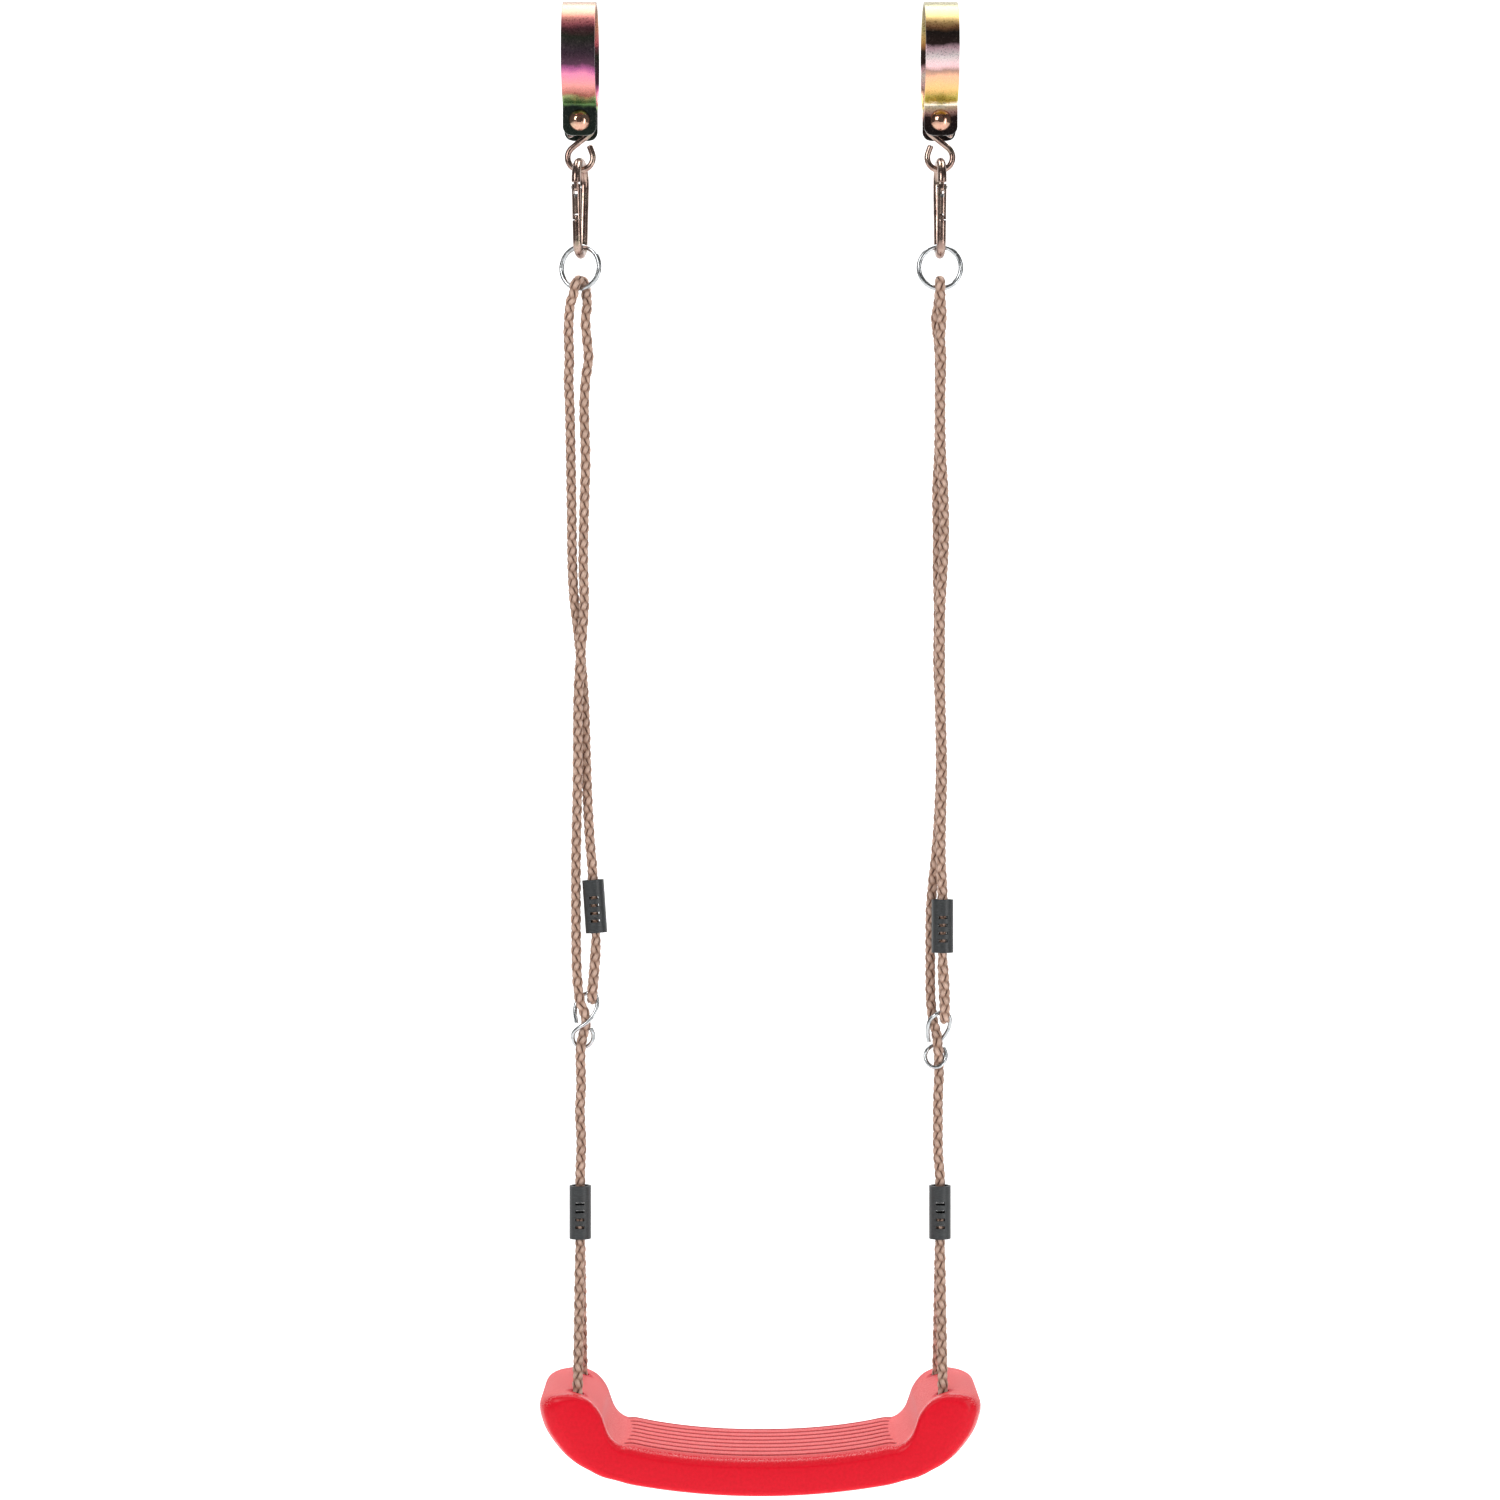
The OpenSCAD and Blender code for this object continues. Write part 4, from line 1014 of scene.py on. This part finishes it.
RIGHT_BANDS = [
    (0.0, (0.014, 0.010, 0.010)), (0.130, (0.030, 0.014, 0.014)), (0.165, (0.55, 0.30, 0.26)),
    (0.205, (0.85, 0.62, 0.42)), (0.226, (0.92, 0.84, 0.68)), (0.243, (0.42, 0.34, 0.05)),
    (0.270, (0.44, 0.36, 0.06)), (0.310, (0.76, 0.48, 0.18)), (0.390, (0.80, 0.42, 0.26)),
    (0.428, (0.34, 0.20, 0.16)), (0.462, (0.90, 0.58, 0.60)), (0.530, (0.97, 0.84, 0.84)),
    (0.588, (0.82, 0.52, 0.60)), (0.622, (0.040, 0.022, 0.020)), (0.712, (0.018, 0.012, 0.010)),
    (0.742, (0.22, 0.10, 0.04)), (0.800, (0.42, 0.28, 0.10)), (0.865, (0.32, 0.29, 0.13)),
    (1.0, (0.40, 0.37, 0.26))]


def build():
    bpy.context.scene.view_settings.view_transform = "Standard"
    make_camera()
    rope = rope_material()
    make_ropes(rope)
    make_studio()
    warm = plated("yellow_zinc_wire", [(0.13, 0.085, 0.070), (0.31, 0.205, 0.170),
                                       (0.44, 0.32, 0.265), (0.27, 0.225, 0.165)],
                  (0.14, 0.30), scale=70)
    bright = plated("bright_zinc_wire", [(0.32, 0.33, 0.335), (0.48, 0.495, 0.505),
                                         (0.62, 0.64, 0.65)], (0.14, 0.30), scale=150)
    bolt = plated("yellow_zinc_bolt", [(0.26, 0.13, 0.09), (0.60, 0.34, 0.25),
                                       (0.66, 0.47, 0.33)], (0.08, 0.22), scale=110)
    left_strap = strap_material("iridescent_strap_left_with_painted_reflections", LEFT_BANDS)
    right_strap = strap_material("iridescent_strap_right_with_painted_reflections", RIGHT_BANDS)
    sleeve = sleeve_material()
    for side in SIDES:
        make_s_hook(side, warm)
        make_snap_hook(side, warm)
        make_ring(side, bright)
        make_clip(side, bright)
        paint_nodes([side + "_bolt", side + "_washer", side + "_nut"], bolt)
        paint_nodes([side + "_snap_gate"], warm)
        paint_nodes([side + "_spacer_tube", side + "_gate_spring", side + "_gate_pin"], bright)
        paint_nodes([side + "_upper_sleeve", side + "_lower_sleeve"], sleeve)
    make_strap("left", left_strap)
    make_strap("right", right_strap)
    make_seat(seat_material())


build()
